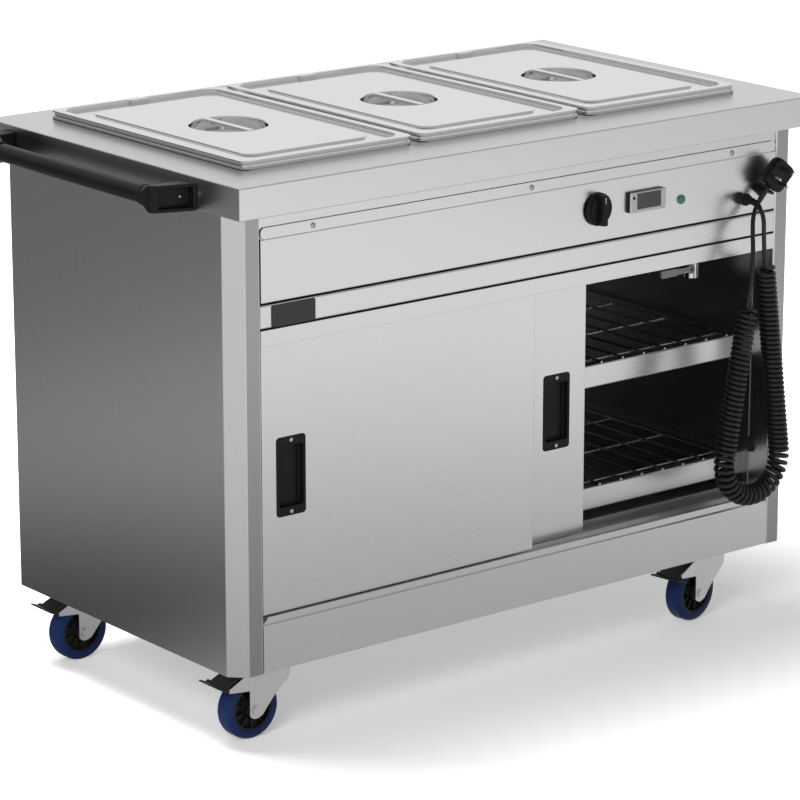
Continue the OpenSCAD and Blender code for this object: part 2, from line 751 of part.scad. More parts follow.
// Drain: pipe from the well's floor and a valve whose stem is at its side
module drain_valve() color([0.8, 0.8, 0.8]) placed() {
    difference() {
        union() {
            translate([drain_x, drain_y, valve_z]) cylinder(r = pipe_r, h = tank_z - thin - valve_z);
            translate([drain_x, drain_y, valve_z]) cylinder(r = 13, h = 46);
            rod_y(stem_x, stem_z, 8, lever_y + 4, drain_y + 6);
        }
        translate([drain_x, drain_y, valve_z - 1]) cylinder(r = pipe_bore, h = tank_z - valve_z + 2);
    }
    rod_y(stem_x, stem_z, stem_r, lever_y - 2, lever_y + 6);
}
module drain_lever() color([0.7, 0.7, 0.7]) placed() difference() {
    union() {
        rod_y(stem_x, stem_z, 8, lever_y, lever_y + 3.5);
        block([stem_x - lever_l, lever_y, stem_z - 5], [stem_x, lever_y + 3.5, stem_z + 5]);
        block([stem_x - lever_l, lever_y - 1, stem_z - 6.5], [stem_x - 32, lever_y + 4.5, stem_z + 6.5]);
    }
    rod_y(stem_x, stem_z, stem_r + running_gap, lever_y - 3, lever_y + 8);
}

// ---- Doors ----

module door_buffers() dark_plastic() {
    block([jamb_x - 5, rear_door_y + 3, buffer_z - 12], [jamb_x, rear_door_y + 13, buffer_z + 13]);
    block([-jamb_x, front_door_y + 3, buffer_z - 12], [-jamb_x + 5, front_door_y + 13, buffer_z + 13]);
}

// A door is a shallow pan, open at the back, with a hole for its pull
module door_pan(x, y, pull_x) brushed() difference() {
    block([x, y, door_z0], [x + door_w, y + door_t, door_z0 + door_h]);
    block([x + thin, y + thin, door_z0 + thin],
        [x + door_w - thin, y + door_t + 1, door_z0 + door_h - thin]);
    block([pull_x - pull_w / 2 + 3, y - 1, pull_z - pull_h / 2 + 13],
        [pull_x + pull_w / 2 - 3, y + 5, pull_z + pull_h / 2 - 13]);
}
left_x = -door_edge;
right_x = door_edge - door_w - right_open;
left_pull_x = left_x + pull_in_left;
right_pull_x = right_x + door_w - pull_in_right;
module left_door() { door_pan(left_x, front_door_y, left_pull_x); }
module right_door() { door_pan(right_x, rear_door_y, right_pull_x); }

// Pull: a flush plate with a deep finger recess, held by a screw at each end
module door_pull(x, y) dark_plastic() {
    difference() {
        union() {
            translate([x, y, pull_z]) rotate([90, 0, 0]) rounded_plate(pull_w, pull_h, 6, 0, 1.5);
            block([x - pull_w / 2 + 3.2, y - 1, pull_z - pull_h / 2 + 13.2],
                [x + pull_w / 2 - 3.2, y + pull_t, pull_z + pull_h / 2 - 13.2]);
        }
        block([x - pull_w / 2 + 5, y - 3, pull_z - pull_h / 2 + 15],
            [x + pull_w / 2 - 5, y + pull_t - 1.5, pull_z + pull_h / 2 - 15]);
    }
    for (s = [-1, 1])
        rod_y(x, pull_z + s * (pull_h / 2 - 6.5), 3.2, y - 2.1, y);
}
module door_pull_left() { door_pull(left_pull_x, front_door_y); }
module door_pull_right() { door_pull(right_pull_x, rear_door_y); }

// ---- Castors ----

// At a castor: its swivel axis upright at the origin, its wheel trailing to the left
module at_castor(c) {
    placed() translate([c[1] * castor_x, castor_mid_y + c[2] * castor_y, 0])
        rotate([0, 0, c[3]]) children();
}

// Mounting plates with their bolts, fixed races and swivel pins
module castor_plates() zinc()
    for (c = castors)
        placed() translate([c[1] * castor_x, castor_mid_y + c[2] * castor_y, 0]) {
            rounded_plate(95, 80, 6, plate_z, base_z);
            translate([0, 0, crown_z + 0.3]) cylinder(r = 22, h = plate_z - crown_z);
            translate([0, 0, crown_z - 9]) cylinder(r = pin_r, h = 12);
            translate([0, 0, crown_z - 9]) cylinder(r = 10, h = 4.7);
            for (x = [-40, 40], y = [-32, 32])
                translate([x, y, plate_z - 4]) cylinder(r = 6, h = 5, $fn = 6);
        }

// Pressed fork: crown, two legs joined by a half-round front, and a tail over the wheel
fork_side = concat([[27, crown_z - 3], [27, 100], [0, 84], [-21, 65], [-43, 39]],
    [for (a = [-50:-10:-130]) [-castor_trail, wheel_r] + 14 * [cos(a), sin(a)]],
    [[-66, 42], [-66, 84], [-104, 88], [-106, 94], [-68, crown_z - 3]]);
module fork_plan(half) {
    circle(half);
    translate([-120, -half]) square([120, 2 * half]);
}
module fork(c) zinc() at_castor(c) {
    difference() {
        union() {
            intersection() {
                translate([0, 0, 30]) linear_extrude(crown_z - 33) difference() {
                    fork_plan(fork_half);
                    fork_plan(fork_half - fork_wall);
                }
                profile_y(fork_side, -fork_half - 1, fork_half + 1);
            }
            translate([0, 0, crown_z - 4]) cylinder(r = fork_half + 1, h = 4);
            block([-66, -fork_half, crown_z - 4], [0, fork_half, crown_z]);
        }
        translate([0, 0, crown_z - 10]) cylinder(r = pin_r + running_gap, h = 20);
    }
    rod_y(-castor_trail, wheel_r, axle_r, -fork_half - 1, fork_half + 1);
    for (y = [-fork_half - 4, fork_half])
        rod_y(-castor_trail, wheel_r, 8, y, y + 4);
    rod_y(pedal_x, pedal_z, pedal_pin_r, -fork_half, fork_half);
}
module fork_fl() { fork(castors[0]); }
module fork_fr() { fork(castors[1]); }
module fork_rl() { fork(castors[2]); }
module fork_rr() { fork(castors[3]); }

// Wheel: rounded tyre on a rim with a longer hub
tyre_outline = concat([[rim_r - 1, -tyre_w / 2]],
    [for (a = [-90:15:0]) [wheel_r - 8, -tyre_w / 2 + 8] + 8 * [cos(a), sin(a)]],
    [for (a = [0:15:90]) [wheel_r - 8, tyre_w / 2 - 8] + 8 * [cos(a), sin(a)]],
    [[rim_r - 1, tyre_w / 2]]);
module wheel(c) color([0.05, 0.1, 0.22]) at_castor(c)
    translate([-castor_trail, 0, wheel_r]) rotate([90, 0, 0])
        rotate_extrude($fn = 72) union() {
            polygon(tyre_outline);
            translate([axle_r + running_gap, -5]) square([rim_r - axle_r, 10]);
            translate([axle_r + running_gap, -hub_half]) square([9, 2 * hub_half]);
        }
module wheel_fl() { wheel(castors[0]); }
module wheel_fr() { wheel(castors[1]); }
module wheel_rl() { wheel(castors[2]); }
module wheel_rr() { wheel(castors[3]); }

// Brake pedal: an eye on its pin between the fork's sides, a pad and a lifting lip
pedal_plate = [[pedal_x - 3, pedal_z + 4.5], [-88, 104.5], [-110, 94.5], [-110, 91.5],
    [-88, 101.5], [pedal_x - 3, pedal_z + 1.5]];
pedal_pad = [[-82, 110], [-86, 110], [-109.5, 99.5], [-109.5, 93.7], [-82, 104]];
pedal_edge = [[-109, 99.7], [-113, 97.6], [-113, 92.8], [-109, 93]];
pedal_lip = [[-109, 95.6], [-124, 101.2], [-125, 98.9], [-109, 92.9]];
module pedal(c) color([0.06, 0.06, 0.065]) at_castor(c)
    translate([pedal_x, 0, pedal_z]) rotate([0, -c[4], 0]) translate([-pedal_x, 0, -pedal_z])
        difference() {
            union() {
                profile_y(pedal_plate, -20, 20);
                profile_y(pedal_pad, -20.5, 20.5);
                profile_y(pedal_edge, -28, 28);
                profile_y(pedal_lip, -30, 30);
                for (y = [-20, 12])
                    rod_y(pedal_x, pedal_z, 6, y, y + 8);
            }
            rod_y(pedal_x, pedal_z, pedal_pin_r + running_gap, -40, 40);
        }
module pedal_fl() { pedal(castors[0]); }
module pedal_fr() { pedal(castors[1]); }
module pedal_rl() { pedal(castors[2]); }
module pedal_rr() { pedal(castors[3]); }

worktop();
pan_bars();
well_tank();
pan_left();
pan_middle();
pan_right();
lid_left();
lid_middle();
lid_right();
left_side();
right_side();
back_panel();
base_plate();
plinth();
door_tracks();
front_rails();
badge_plate();
control_panel();
panel_screws();
thermostat();
knob();
display();
display_key();
indicator_lamp();
cable_gland();
cord_hook();
gland_lead();
curly_cord();
plug_lead();
plug();
handle_bar();
handle_brackets();
liner();
cupboard_floor();
cupboard_ceiling();
shelf_supports();
upper_rack();
lower_rack();
well_element();
cupboard_element();
drain_valve();
drain_lever();
door_buffers();
left_door();
right_door();
door_pull_left();
door_pull_right();
castor_plates();
fork_fl();
fork_fr();
fork_rl();
fork_rr();
wheel_fl();
wheel_fr();
wheel_rl();
wheel_rr();
pedal_fl();
pedal_fr();
pedal_rl();
pedal_rr();
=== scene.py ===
import math

import bmesh
import bpy
from mathutils import Matrix, Vector


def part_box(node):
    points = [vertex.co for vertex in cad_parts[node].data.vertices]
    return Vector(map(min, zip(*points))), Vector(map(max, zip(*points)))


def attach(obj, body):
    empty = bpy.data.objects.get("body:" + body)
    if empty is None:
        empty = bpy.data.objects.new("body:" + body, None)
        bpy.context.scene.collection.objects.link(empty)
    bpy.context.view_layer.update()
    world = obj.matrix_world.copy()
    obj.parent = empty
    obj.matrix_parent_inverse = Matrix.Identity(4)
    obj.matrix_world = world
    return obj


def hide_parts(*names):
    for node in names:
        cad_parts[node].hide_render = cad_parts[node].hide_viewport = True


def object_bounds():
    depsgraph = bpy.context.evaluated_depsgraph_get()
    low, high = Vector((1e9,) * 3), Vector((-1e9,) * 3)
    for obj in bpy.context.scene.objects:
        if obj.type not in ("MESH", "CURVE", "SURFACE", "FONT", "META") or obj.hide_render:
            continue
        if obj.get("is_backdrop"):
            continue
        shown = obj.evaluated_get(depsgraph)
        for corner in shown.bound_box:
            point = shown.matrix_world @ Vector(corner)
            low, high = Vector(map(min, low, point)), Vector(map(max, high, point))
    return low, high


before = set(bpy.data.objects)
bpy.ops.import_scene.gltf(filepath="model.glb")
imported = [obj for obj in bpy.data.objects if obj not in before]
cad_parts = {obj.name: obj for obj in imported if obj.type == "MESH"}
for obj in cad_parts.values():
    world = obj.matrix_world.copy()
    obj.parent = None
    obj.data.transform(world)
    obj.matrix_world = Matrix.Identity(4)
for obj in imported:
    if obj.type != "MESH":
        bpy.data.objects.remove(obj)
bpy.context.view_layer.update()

# ---- Viewpoint ----
# A long lens stands six metres off, left of the trolley's front, and looks down a little on its
# worktop, as in the photograph.
view_at = (-3.732, -4.72, 2.07)
view_turn = math.radians(38.48)
view_drop = math.radians(15.44)

lens = bpy.data.cameras.new("viewpoint")
lens.lens = 168.7
lens.sensor_width = 36
lens.clip_start = 0.1


def in_scene(name, data):
    """A new object, linked into the scene."""
    made = bpy.data.objects.new(name, data)
    bpy.context.scene.collection.objects.link(made)
    return made


viewpoint = in_scene("viewpoint", lens)
viewpoint.location = view_at
viewpoint.rotation_euler = (math.pi / 2 - view_drop, 0, -view_turn)
bpy.context.scene.camera = viewpoint

# ---- Mains lead ----
# Round black rubber lead, straight out of its gland, then moulded into a long curly part that
# hangs in a loop, and straight again up to the plug. Its points are in metres from the
# worktop's middle, which is right of the origin because the push handle is on the left only.
mid_x = 0.0335
lead_d = 0.0076
curl_r = 0.014
curl_steps = 24

gland_route = [(0.457, -0.361, 0.729), (0.457, -0.3646, 0.725), (0.4571, -0.3674, 0.7204),
               (0.4571, -0.3694, 0.7154), (0.4572, -0.3706, 0.71), (0.4574, -0.371, 0.704),
               (0.4576, -0.371, 0.697), (0.458, -0.371, 0.689), (0.4585, -0.371, 0.681),
               (0.459, -0.371, 0.673), (0.4597, -0.3709, 0.665), (0.4605, -0.3709, 0.657),
               (0.4614, -0.3708, 0.649)]
plug_route = [(0.4306, -0.369, 0.592), (0.4327, -0.3688, 0.604), (0.4348, -0.3682, 0.616),
              (0.437, -0.3672, 0.628), (0.4393, -0.3656, 0.64), (0.4416, -0.3634, 0.651),
              (0.4441, -0.3606, 0.662), (0.4467, -0.3574, 0.672), (0.4494, -0.3538, 0.681),
              (0.4525, -0.3502, 0.69), (0.4557, -0.3466, 0.698), (0.4589, -0.3434, 0.705),
              (0.4625, -0.3408, 0.712), (0.4663, -0.339, 0.7184), (0.4702, -0.3378, 0.7242),
              (0.474, -0.3372, 0.7294), (0.4777, -0.337, 0.734)]

# The curls run down on the right, round a wide bend and up on the left
curl_y = -0.36
bend_at_x = 0.454
bend_at_z = 0.3
bend_r = 0.063
lean_right = math.radians(7.7)
lean_left = math.radians(10)
top_right = 0.634
top_left = 0.568
curls_right = 37
curls_bend = 20
curls_left = 28.25
first_phase = math.radians(-129.7)

run_right = (top_right - bend_at_z - bend_r * math.sin(lean_right)) / math.cos(lean_right)
run_left = (top_left - bend_at_z - bend_r * math.sin(lean_left)) / math.cos(lean_left)
pitch_right = run_right / (curls_right + 2)
pitch_left = run_left / (curls_left + 2)
bend_sweep = math.pi + lean_right + lean_left


def outwards(angle):
    return Vector((math.cos(angle), 0, math.sin(angle)))


def on_bend(angle):
    return Vector((bend_at_x, curl_y, bend_at_z)) + bend_r * outwards(angle)


def down_right(s):
    return on_bend(lean_right) + (run_right - s) * Vector((-math.sin(lean_right), 0, math.cos(lean_right)))


def up_left(s):
    return on_bend(math.pi - lean_left) + s * Vector((math.sin(lean_left), 0, math.cos(lean_left)))


def curl(middle, out, turn):
    phase = first_phase + 2 * math.pi * turn
    return middle + curl_r * (math.cos(phase) * outwards(out) + Vector((0, math.sin(phase), 0)))


def right_curl(turn):
    s = 2 * pitch_right * math.sqrt(turn) if turn < 1 else pitch_right * (turn + 1)
    return curl(down_right(s), lean_right, turn)


def bend_curl(turn):
    angle = lean_right - bend_sweep * turn / curls_bend
    return curl(on_bend(angle), angle, turn + curls_right + 1)


def left_curl(turn):
    rest = curls_left + 1 - turn
    s = run_left - 2 * pitch_left * math.sqrt(rest) if rest < 1 else pitch_left * turn
    return curl(up_left(s), math.pi - lean_left, turn + curls_right + 1 + curls_bend)


def steps_of(curls):
    return [i / curl_steps for i in range(1, int(curls * curl_steps) + 1)]


lead_line = [Vector(p) for p in gland_route]
lead_line.append(curl(down_right(-lead_d), lean_right, 0))
lead_line += [right_curl(t) for t in [0] + steps_of(curls_right + 1)]
lead_line += [bend_curl(t) for t in steps_of(curls_bend)]
lead_line += [left_curl(t) for t in steps_of(curls_left + 1)]
lead_line.append(curl(up_left(run_left + lead_d), math.pi - lean_left,
                      curls_right + curls_bend + curls_left + 2))
lead_line += [Vector(p) for p in plug_route]
lead_line = [p + Vector((mid_x, 0, 0)) for p in lead_line]


def circle(middle, ahead, side, r, sides):
    """Points of a circle square to a direction, the first one on the given side."""
    turns = [2 * math.pi * k / sides for k in range(sides)]
    return [middle + r * (math.cos(a) * side + math.sin(a) * ahead.cross(side)) for a in turns]


def lofted(loops, closed=False):
    """Skin over loops of equal length, with its two ends filled, or closed into a ring."""
    n = len(loops[0])
    points = [p for loop in loops for p in loop]
    faces = []
    for i in range(len(loops) if closed else len(loops) - 1):
        for k in range(n):
            a, b = i * n + k, i * n + (k + 1) % n
            c, d = (b + n) % len(points), (a + n) % len(points)
            faces.append((a, b, c, d))
    if not closed:
        faces.append(tuple(reversed(range(n))))
        faces.append(tuple(range(len(points) - n, len(points))))
    return points, faces


def tube(line, radii, sides=12):
    """Skin of a round tube along a line, its rings turned as little as possible."""
    if not hasattr(radii, "__len__"):
        radii = [radii] * len(line)
    line = [Vector(p) for p in line]
    side = (line[1] - line[0]).orthogonal()
    rings = []
    for i, p in enumerate(line):
        ahead = (line[min(i + 1, len(line) - 1)] - line[max(i - 1, 0)]).normalized()
        side = (side - ahead * side.dot(ahead)).normalized()
        rings.append(circle(p, ahead, side, radii[i], sides))
    return lofted(rings)


def joined(*shapes):
    """One set of points and faces from several."""
    points, faces = [], []
    for shape_points, shape_faces in shapes:
        first = len(points)
        points += [Vector(p) for p in shape_points]
        faces += [tuple(first + i for i in face) for face in shape_faces]
    return points, faces


def skin(name, shape):
    """A mesh from points and faces, with all its faces outwards."""
    mesh = bpy.data.meshes.new(name)
    mesh.from_pydata([tuple(p) for p in shape[0]], [], shape[1])
    work = bmesh.new()
    work.from_mesh(mesh)
    bmesh.ops.recalc_face_normals(work, faces=work.faces)
    work.to_mesh(mesh)
    work.free()
    return mesh


def spun(degrees, axis):
    return Matrix.Rotation(math.radians(degrees), 4, axis)


def fitted(name, shape, finish, stands_for=(), body="cabinet", edge=0.0, sharp=35):
    """Makes a piece of the trolley from points and faces, and mounts it on its body."""
    mesh = skin(name, shape)
    mesh.shade_smooth()
    mesh.set_sharp_from_angle(angle=math.radians(sharp))
    mesh.materials.append(finish)
    piece = in_scene(name, mesh)
    if edge:
        soften(piece, edge)
    shaded_flat(piece)
    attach(piece, body)
    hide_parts(*stands_for)
    return piece


def soften(piece, edge, steps=2):
    """Rounds a piece's edges a little, so that they catch the light as worked edges do."""
    bevel = piece.modifiers.new("edges", "BEVEL")
    bevel.limit_method = "ANGLE"
    bevel.angle_limit = math.radians(35)
    bevel.width = edge
    bevel.segments = steps
    bevel.harden_normals = True
    return piece


def shaded_flat(piece):
    """Lets the large faces set the shading, so that a flat beside a round bend stays even."""
    flat = piece.modifiers.new("even_shading", "WEIGHTED_NORMAL")
    flat.keep_sharp = True
    flat.weight = 100
    return piece


def wired(tree, kind, *inputs, **named):
    """A new node. Its inputs get numbers or wires, and the other named values are its settings."""
    made = tree.nodes.new("ShaderNode" + kind)
    for setting in [k for k in named if hasattr(made, k)]:
        setattr(made, setting, named.pop(setting))
    for socket, value in list(zip(made.inputs, inputs)) + [(made.inputs[k], v) for k, v in named.items()]:
        if isinstance(value, bpy.types.NodeSocket):
            tree.links.new(value, socket)
        else:
            socket.default_value = value
    return made


def new_finish(name, colour, metallic, roughness):
    """A new finish, with the tree and the shader that its grain is wired to."""
    finish = bpy.data.materials.new(name)
    finish.use_nodes = True
    tree = finish.node_tree
    shader = tree.nodes["Principled BSDF"]
    shader.inputs["Base Color"].default_value = (*colour, 1)
    shader.inputs["Metallic"].default_value = metallic
    shader.inputs["Roughness"].default_value = roughness
    return finish, tree, shader


def clouds(tree, place, scale, detail, roughness=0.5):
    """Soft random pattern, read at a place on the piece."""
    return wired(tree, "TexNoise", Vector=place, Scale=scale, Detail=detail,
                 Roughness=roughness).outputs["Fac"]


def grained(tree, shader, glossy, spread, tinted, tints, raised, depth, height):
    """Wires three patterns to a finish: one to its gloss, one to its tone and one to its relief."""
    wire = tree.links.new
    roughness = shader.inputs["Roughness"].default_value
    gloss = wired(tree, "MapRange", glossy, 0, 1, roughness - spread, roughness + spread)
    low, high = [(*tint, 1) for tint in tints]
    shade = wired(tree, "Mix", data_type="RGBA", Factor=tinted, A=low, B=high)
    bump = wired(tree, "Bump", Strength=depth, Distance=height, Height=raised)
    wire(gloss.outputs["Result"], shader.inputs["Roughness"])
    wire(shade.outputs["Result"], shader.inputs["Base Color"])
    wire(bump.outputs["Normal"], shader.inputs["Normal"])


def moulded(name, colour, roughness, grain=900, depth=0.25, shine=0.5):
    """Rubber or plastic: a fine pebbled skin, with its tone and gloss a little uneven."""
    finish, tree, shader = new_finish(name, colour, 0, roughness)
    shader.inputs["Specular IOR Level"].default_value = shine
    place = wired(tree, "TexCoord").outputs["Object"]
    wear = clouds(tree, place, 18, 5)
    tints = [c * 0.85 for c in colour], [c * 1.15 + 0.002 for c in colour]
    grained(tree, shader, wear, 0.08, wear, tints, clouds(tree, place, grain, 3), depth, 0.0002)
    return finish


lead_rubber = moulded("cord_black", (0.007, 0.007, 0.0075), 0.38, grain=1400, depth=0.12)
lead = fitted("mains_lead", tube(lead_line, lead_d / 2, 14), lead_rubber,
              ["gland_lead", "curly_cord", "plug_lead"])

# ---- Plug ----
# Three-pin mains plug of moulded black plastic: a domed body with finger ledges, flat pins on
# its front face and a ribbed boot round the lead. It rests in the fork of the cord hook.
plug_foot = Vector((0.497 + mid_x, -0.337, 0.757))
plug_set = Matrix.Translation(plug_foot) @ spun(40, "Y")
plug_body_set = plug_set @ spun(8, "X")
plug_mid_z = 0.025


def rounded(half_w, half_l, corner, height, across=(0, 0), per_corner=6):
    """Loop of points round a rectangle with round corners, lying flat at a height."""
    loop = []
    corner = min(corner, half_w, half_l)
    for quarter, (sx, sy) in enumerate(((1, 1), (-1, 1), (-1, -1), (1, -1))):
        for k in range(per_corner + 1):
            a = math.pi / 2 * (quarter + k / per_corner)
            loop.append(Vector((across[0] + sx * (half_w - corner) + corner * math.cos(a),
                                across[1] + sy * (half_l - corner) + corner * math.sin(a), height)))
    return loop


def stacked(rows, per_corner=6):
    """Loops from rows of half width, half length, corner radius and height."""
    return [rounded(*row, per_corner=per_corner) for row in rows]


def placed(shape, matrix):
    return [matrix @ Vector(p) for p in shape[0]], shape[1]


def slab(half_w, half_l, corner, z0, z1, round_low=0.0, round_high=0.0, across=(0, 0)):
    """Rounded plate between two heights, with a rounded lower or upper edge."""
    loops = []
    for z, bend, steps in ((z0, round_low, (4, 3, 2, 1, 0)), (z1, -round_high, (0, 1, 2, 3, 4))):
        for k in steps if bend else (0,):
            a = math.pi / 8 * k
            inset = abs(bend) * (1 - math.cos(a))
            loops.append(rounded(half_w - inset, half_l - inset, max(corner - inset, 0.0002),
                                 z + bend * (1 - math.sin(a)), across))
    return lofted(loops)


def plug_shell():
    """The body lies along Y: pin face in front, a parting line, and a dome behind."""
    sizes = [(0.0205, 0.0225, 0.0095, -0.011), (0.0218, 0.0238, 0.0102, -0.0105),
             (0.0225, 0.0245, 0.0108, -0.009), (0.0229, 0.0249, 0.011, -0.004),
             (0.0224, 0.0244, 0.0107, -0.0036), (0.0224, 0.0244, 0.0107, -0.003),
             (0.0229, 0.0249, 0.011, -0.0026), (0.0226, 0.0246, 0.011, 0.004),
             (0.0214, 0.0234, 0.011, 0.0075), (0.0188, 0.0208, 0.0105, 0.0098),
             (0.015, 0.017, 0.009, 0.0108), (0.008, 0.01, 0.006, 0.011)]
    loops = stacked(sizes)
    lying = Matrix.Translation((0, 0, plug_mid_z)) @ spun(-90, "X")
    for i, loop in enumerate(loops):
        for p in loop:
            ledge = 0.0035 * max(0, 1 - abs(p.y) / 0.011) if 1 < i < 9 and abs(p.x) > 0.015 else 0
            p.x -= math.copysign(ledge, p.x)
    return placed(lofted(loops), lying)


def pin(x, z0, z1, half_w, length):
    """A pin's blade, with its end eased."""
    mid, half = (z0 + z1) / 2, (z1 - z0) / 2
    loops = [[Vector((x + sx * half_w * k, y, mid + sz * half * k)) for sx, sz in
              ((-1, -1), (1, -1), (1, 1), (-1, 1))]
             for y, k in ((-0.0095, 1), (-0.011 - length + 0.0015, 1), (-0.011 - length, 0.72))]
    return lofted(loops)


def steel(name, colour, roughness, grain=(4, 420, 420), streak=0.05, tone=0.05, depth=0.05):
    """Brushed or rolled metal: fine lines along its grain, and large soft changes of gloss."""
    finish, tree, shader = new_finish(name, colour, 1, roughness)
    place = wired(tree, "TexCoord").outputs["Object"]
    stretched = wired(tree, "Mapping", Vector=place, Scale=grain).outputs["Vector"]
    lines = clouds(tree, stretched, 1, 4, 0.65)
    mixed = wired(tree, "Mix", Factor=0.4, A=lines, B=clouds(tree, place, 3.5, 4))
    tints = [c * (1 - tone) for c in colour], [min(1, c * (1 + tone)) for c in colour]
    grained(tree, shader, mixed.outputs["Result"], streak, lines, tints, lines, depth, 0.0001)
    return finish


pin_metal = steel("pin_metal", (0.6, 0.58, 0.52), 0.28, grain=(300, 300, 300))
black_plastic = moulded("black_plastic", (0.005, 0.005, 0.0055), 0.36, shine=0.2)
plug = fitted("plug_body", placed(plug_shell(), plug_body_set), black_plastic, ["plug"])
pins = fitted("plug_pins", placed(joined(pin(0, 0.034, 0.042, 0.002, 0.0227),
                                         pin(-0.0111, 0.014, 0.018, 0.0032, 0.0177),
                                         pin(0.0111, 0.014, 0.018, 0.0032, 0.0177)), plug_body_set),
              pin_metal, edge=0.0003)
boot_steps = 24
boot_line, boot_r = [], []
for k in range(boot_steps + 1):
    t = k / boot_steps
    boot_line.append((0, 0, -0.03 + 0.032 * t))
    boot_r.append(0.0044 + 0.0013 * t - (0.0007 if k % 4 == 2 else 0))
plug_boot = fitted("plug_boot", placed(tube(boot_line, boot_r, 16), plug_set), lead_rubber, sharp=60)

# ---- Cable gland ----
# Black nylon gland in the control panel: a six-sided nut, a fluted dome and a short bent boot
# that the lead comes out of.
gland_x, gland_y, gland_z = 0.457 + mid_x, -0.3175, 0.7385


def turned(profile, centre, axis=(0, -1, 0), sides=48, closed=False):
    """A turned piece: profile holds pairs of a radius and a distance along the axis."""
    points, faces = [], []
    ahead = Vector(axis).normalized()
    side = ahead.orthogonal().normalized()
    rings = []
    for r, s in profile:
        mid = Vector(centre) + ahead * s
        if r < 1e-6:
            rings.append([len(points)])
            points.append(mid)
            continue
        rings.append(list(range(len(points), len(points) + sides)))
        points += circle(mid, ahead, side, r, sides)
    for low, high in zip(rings, rings[1:] + rings[:1] if closed else rings[1:]):
        for k in range(sides):
            a, b = low[k % len(low)], low[(k + 1) % len(low)]
            c, d = high[(k + 1) % len(high)], high[k % len(high)]
            face = tuple(dict.fromkeys((a, b, c, d)))
            if len(face) > 2:
                faces.append(face)
    for ring, flip in () if closed else ((rings[0], True), (rings[-1], False)):
        if len(ring) > 1:
            faces.append(tuple(reversed(ring)) if flip else tuple(ring))
    return points, faces


def ringed(shape, seat, count):
    """Copies of a shape, set round the local Y axis of their seat."""
    return joined(*[placed(shape, seat @ spun(360 * k / count, "Y")) for k in range(count)])


def eased(line, steps=3):
    """Extra points between those of a line, on one smooth curve through all of them."""
    line = [Vector(p) for p in line]
    out = []
    for i in range(len(line) - 1):
        a, b, c, d = line[max(i - 1, 0)], line[i], line[i + 1], line[min(i + 2, len(line) - 1)]
        for k in range(steps):
            t = k / steps
            out.append(0.5 * (2 * b + (c - a) * t + (2 * a - 5 * b + 4 * c - d) * t ** 2
                              + (3 * b - a - 3 * c + d) * t ** 3))
    return out + [line[-1]]


gland_at = (gland_x, gland_y, gland_z)
nut = turned([(0.0105, -0.0002), (0.011, 0.0005), (0.011, 0.0055), (0.0105, 0.006)], gland_at, sides=6)
dome = turned([(0.0098, 0.0055), (0.0102, 0.007), (0.0102, 0.011), (0.0096, 0.0135), (0.0085, 0.016),
               (0.0076, 0.0185), (0.0066, 0.0195)], gland_at)
flute = slab(0.0006, 0.0032, 0.0005, 0.0097, 0.0107, 0, 0.0004)
flutes = ringed(flute, Matrix.Translation((gland_x, gland_y - 0.0095, gland_z)), count=12)
boot_points = [(0.457, -0.3365, 0.7385), (0.457, -0.343, 0.738), (0.457, -0.35, 0.7362),
               (0.457, -0.356, 0.7332), (0.457, -0.361, 0.729)]
boot_points = [(x + mid_x, y, z) for x, y, z in boot_points]
gland_boot_line = eased(boot_points, 4)
gland_boot_r = [0.0063 - 0.0018 * i / (len(gland_boot_line) - 1) for i in range(len(gland_boot_line))]
gland = fitted("gland_and_boot", joined(nut, dome, flutes, tube(gland_boot_line, gland_boot_r, 20)),
               black_plastic, ["cable_gland"], edge=0.0003)

# ---- Worktop ----
# One brushed stainless sheet, 1.5 mm thick, its edge folded down 50 mm all round with a hem
# below, welded and polished at the corners. The well's opening has a short lip down.
sheet = 0.0015
fold_r = 0.002
work_low, work_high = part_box("worktop")
top_w = (work_high.x - work_low.x) / 2
top_l = (work_high.y - work_low.y) / 2
top_z = work_high.z
edge_z = work_low.z
pan_pitch = 0.345
opening_w = 0.305
well_y = 0.02
well_w = pan_pitch + opening_w / 2
well_l = 0.255
lip = 0.0115
hem = 0.013


def bent(start, end, first="flat", steps=4):
    """Rows round a quarter bend from one row to another, which sets out flat or upright."""
    rows = []
    for k in range(steps + 1):
        a = math.pi / 2 * k / steps
        across, up = math.sin(a), 1 - math.cos(a)
        if first == "up":
            across, up = up, across
        rows.append([p + (q - p) * t for p, q, t in zip(start, end, (across, across, across, up))])
    return rows


def shifted(loops, x, y):
    return [[p + Vector((x, y, 0)) for p in loop] for loop in loops]


steel_top = steel("steel_top", (0.78, 0.785, 0.79), 0.3, depth=0.025)
outer = [(top_w - 0.0016, top_l - hem, 0.001, z) for z in (edge_z + sheet, edge_z)]
outer += bent((top_w - sheet, top_l - sheet, 0.0016, edge_z), (top_w, top_l, 0.0016, edge_z + sheet))
outer += bent((top_w, top_l, 0.0016, top_z - fold_r), (top_w - fold_r, top_l - fold_r, 0.0016, top_z), "up")
opening = bent((well_w + sheet, well_l + sheet, 0.004, top_z), (well_w, well_l, 0.004, top_z - sheet))
opening += [(well_w, well_l, 0.004, top_z - lip), (well_w + sheet, well_l + sheet, 0.0055, top_z - lip),
            (well_w + sheet, well_l + sheet, 0.0055, top_z - sheet)]
inner = [(top_w - sheet, top_l - sheet, 0.001, top_z - sheet),
         (top_w - sheet, top_l - sheet, 0.001, edge_z + sheet)]
worktop_loops = (shifted(stacked(outer), mid_x, 0) + shifted(stacked(opening), mid_x, well_y)
                 + shifted(stacked(inner), mid_x, 0))
fitted("worktop_sheet", lofted(worktop_loops, closed=True), steel_top, ["worktop"])

# ---- Well ----
# Stainless tank welded under the opening, two folded bars across it that carry the pans' rims,
# and two black-oxidised heating rods on its floor.


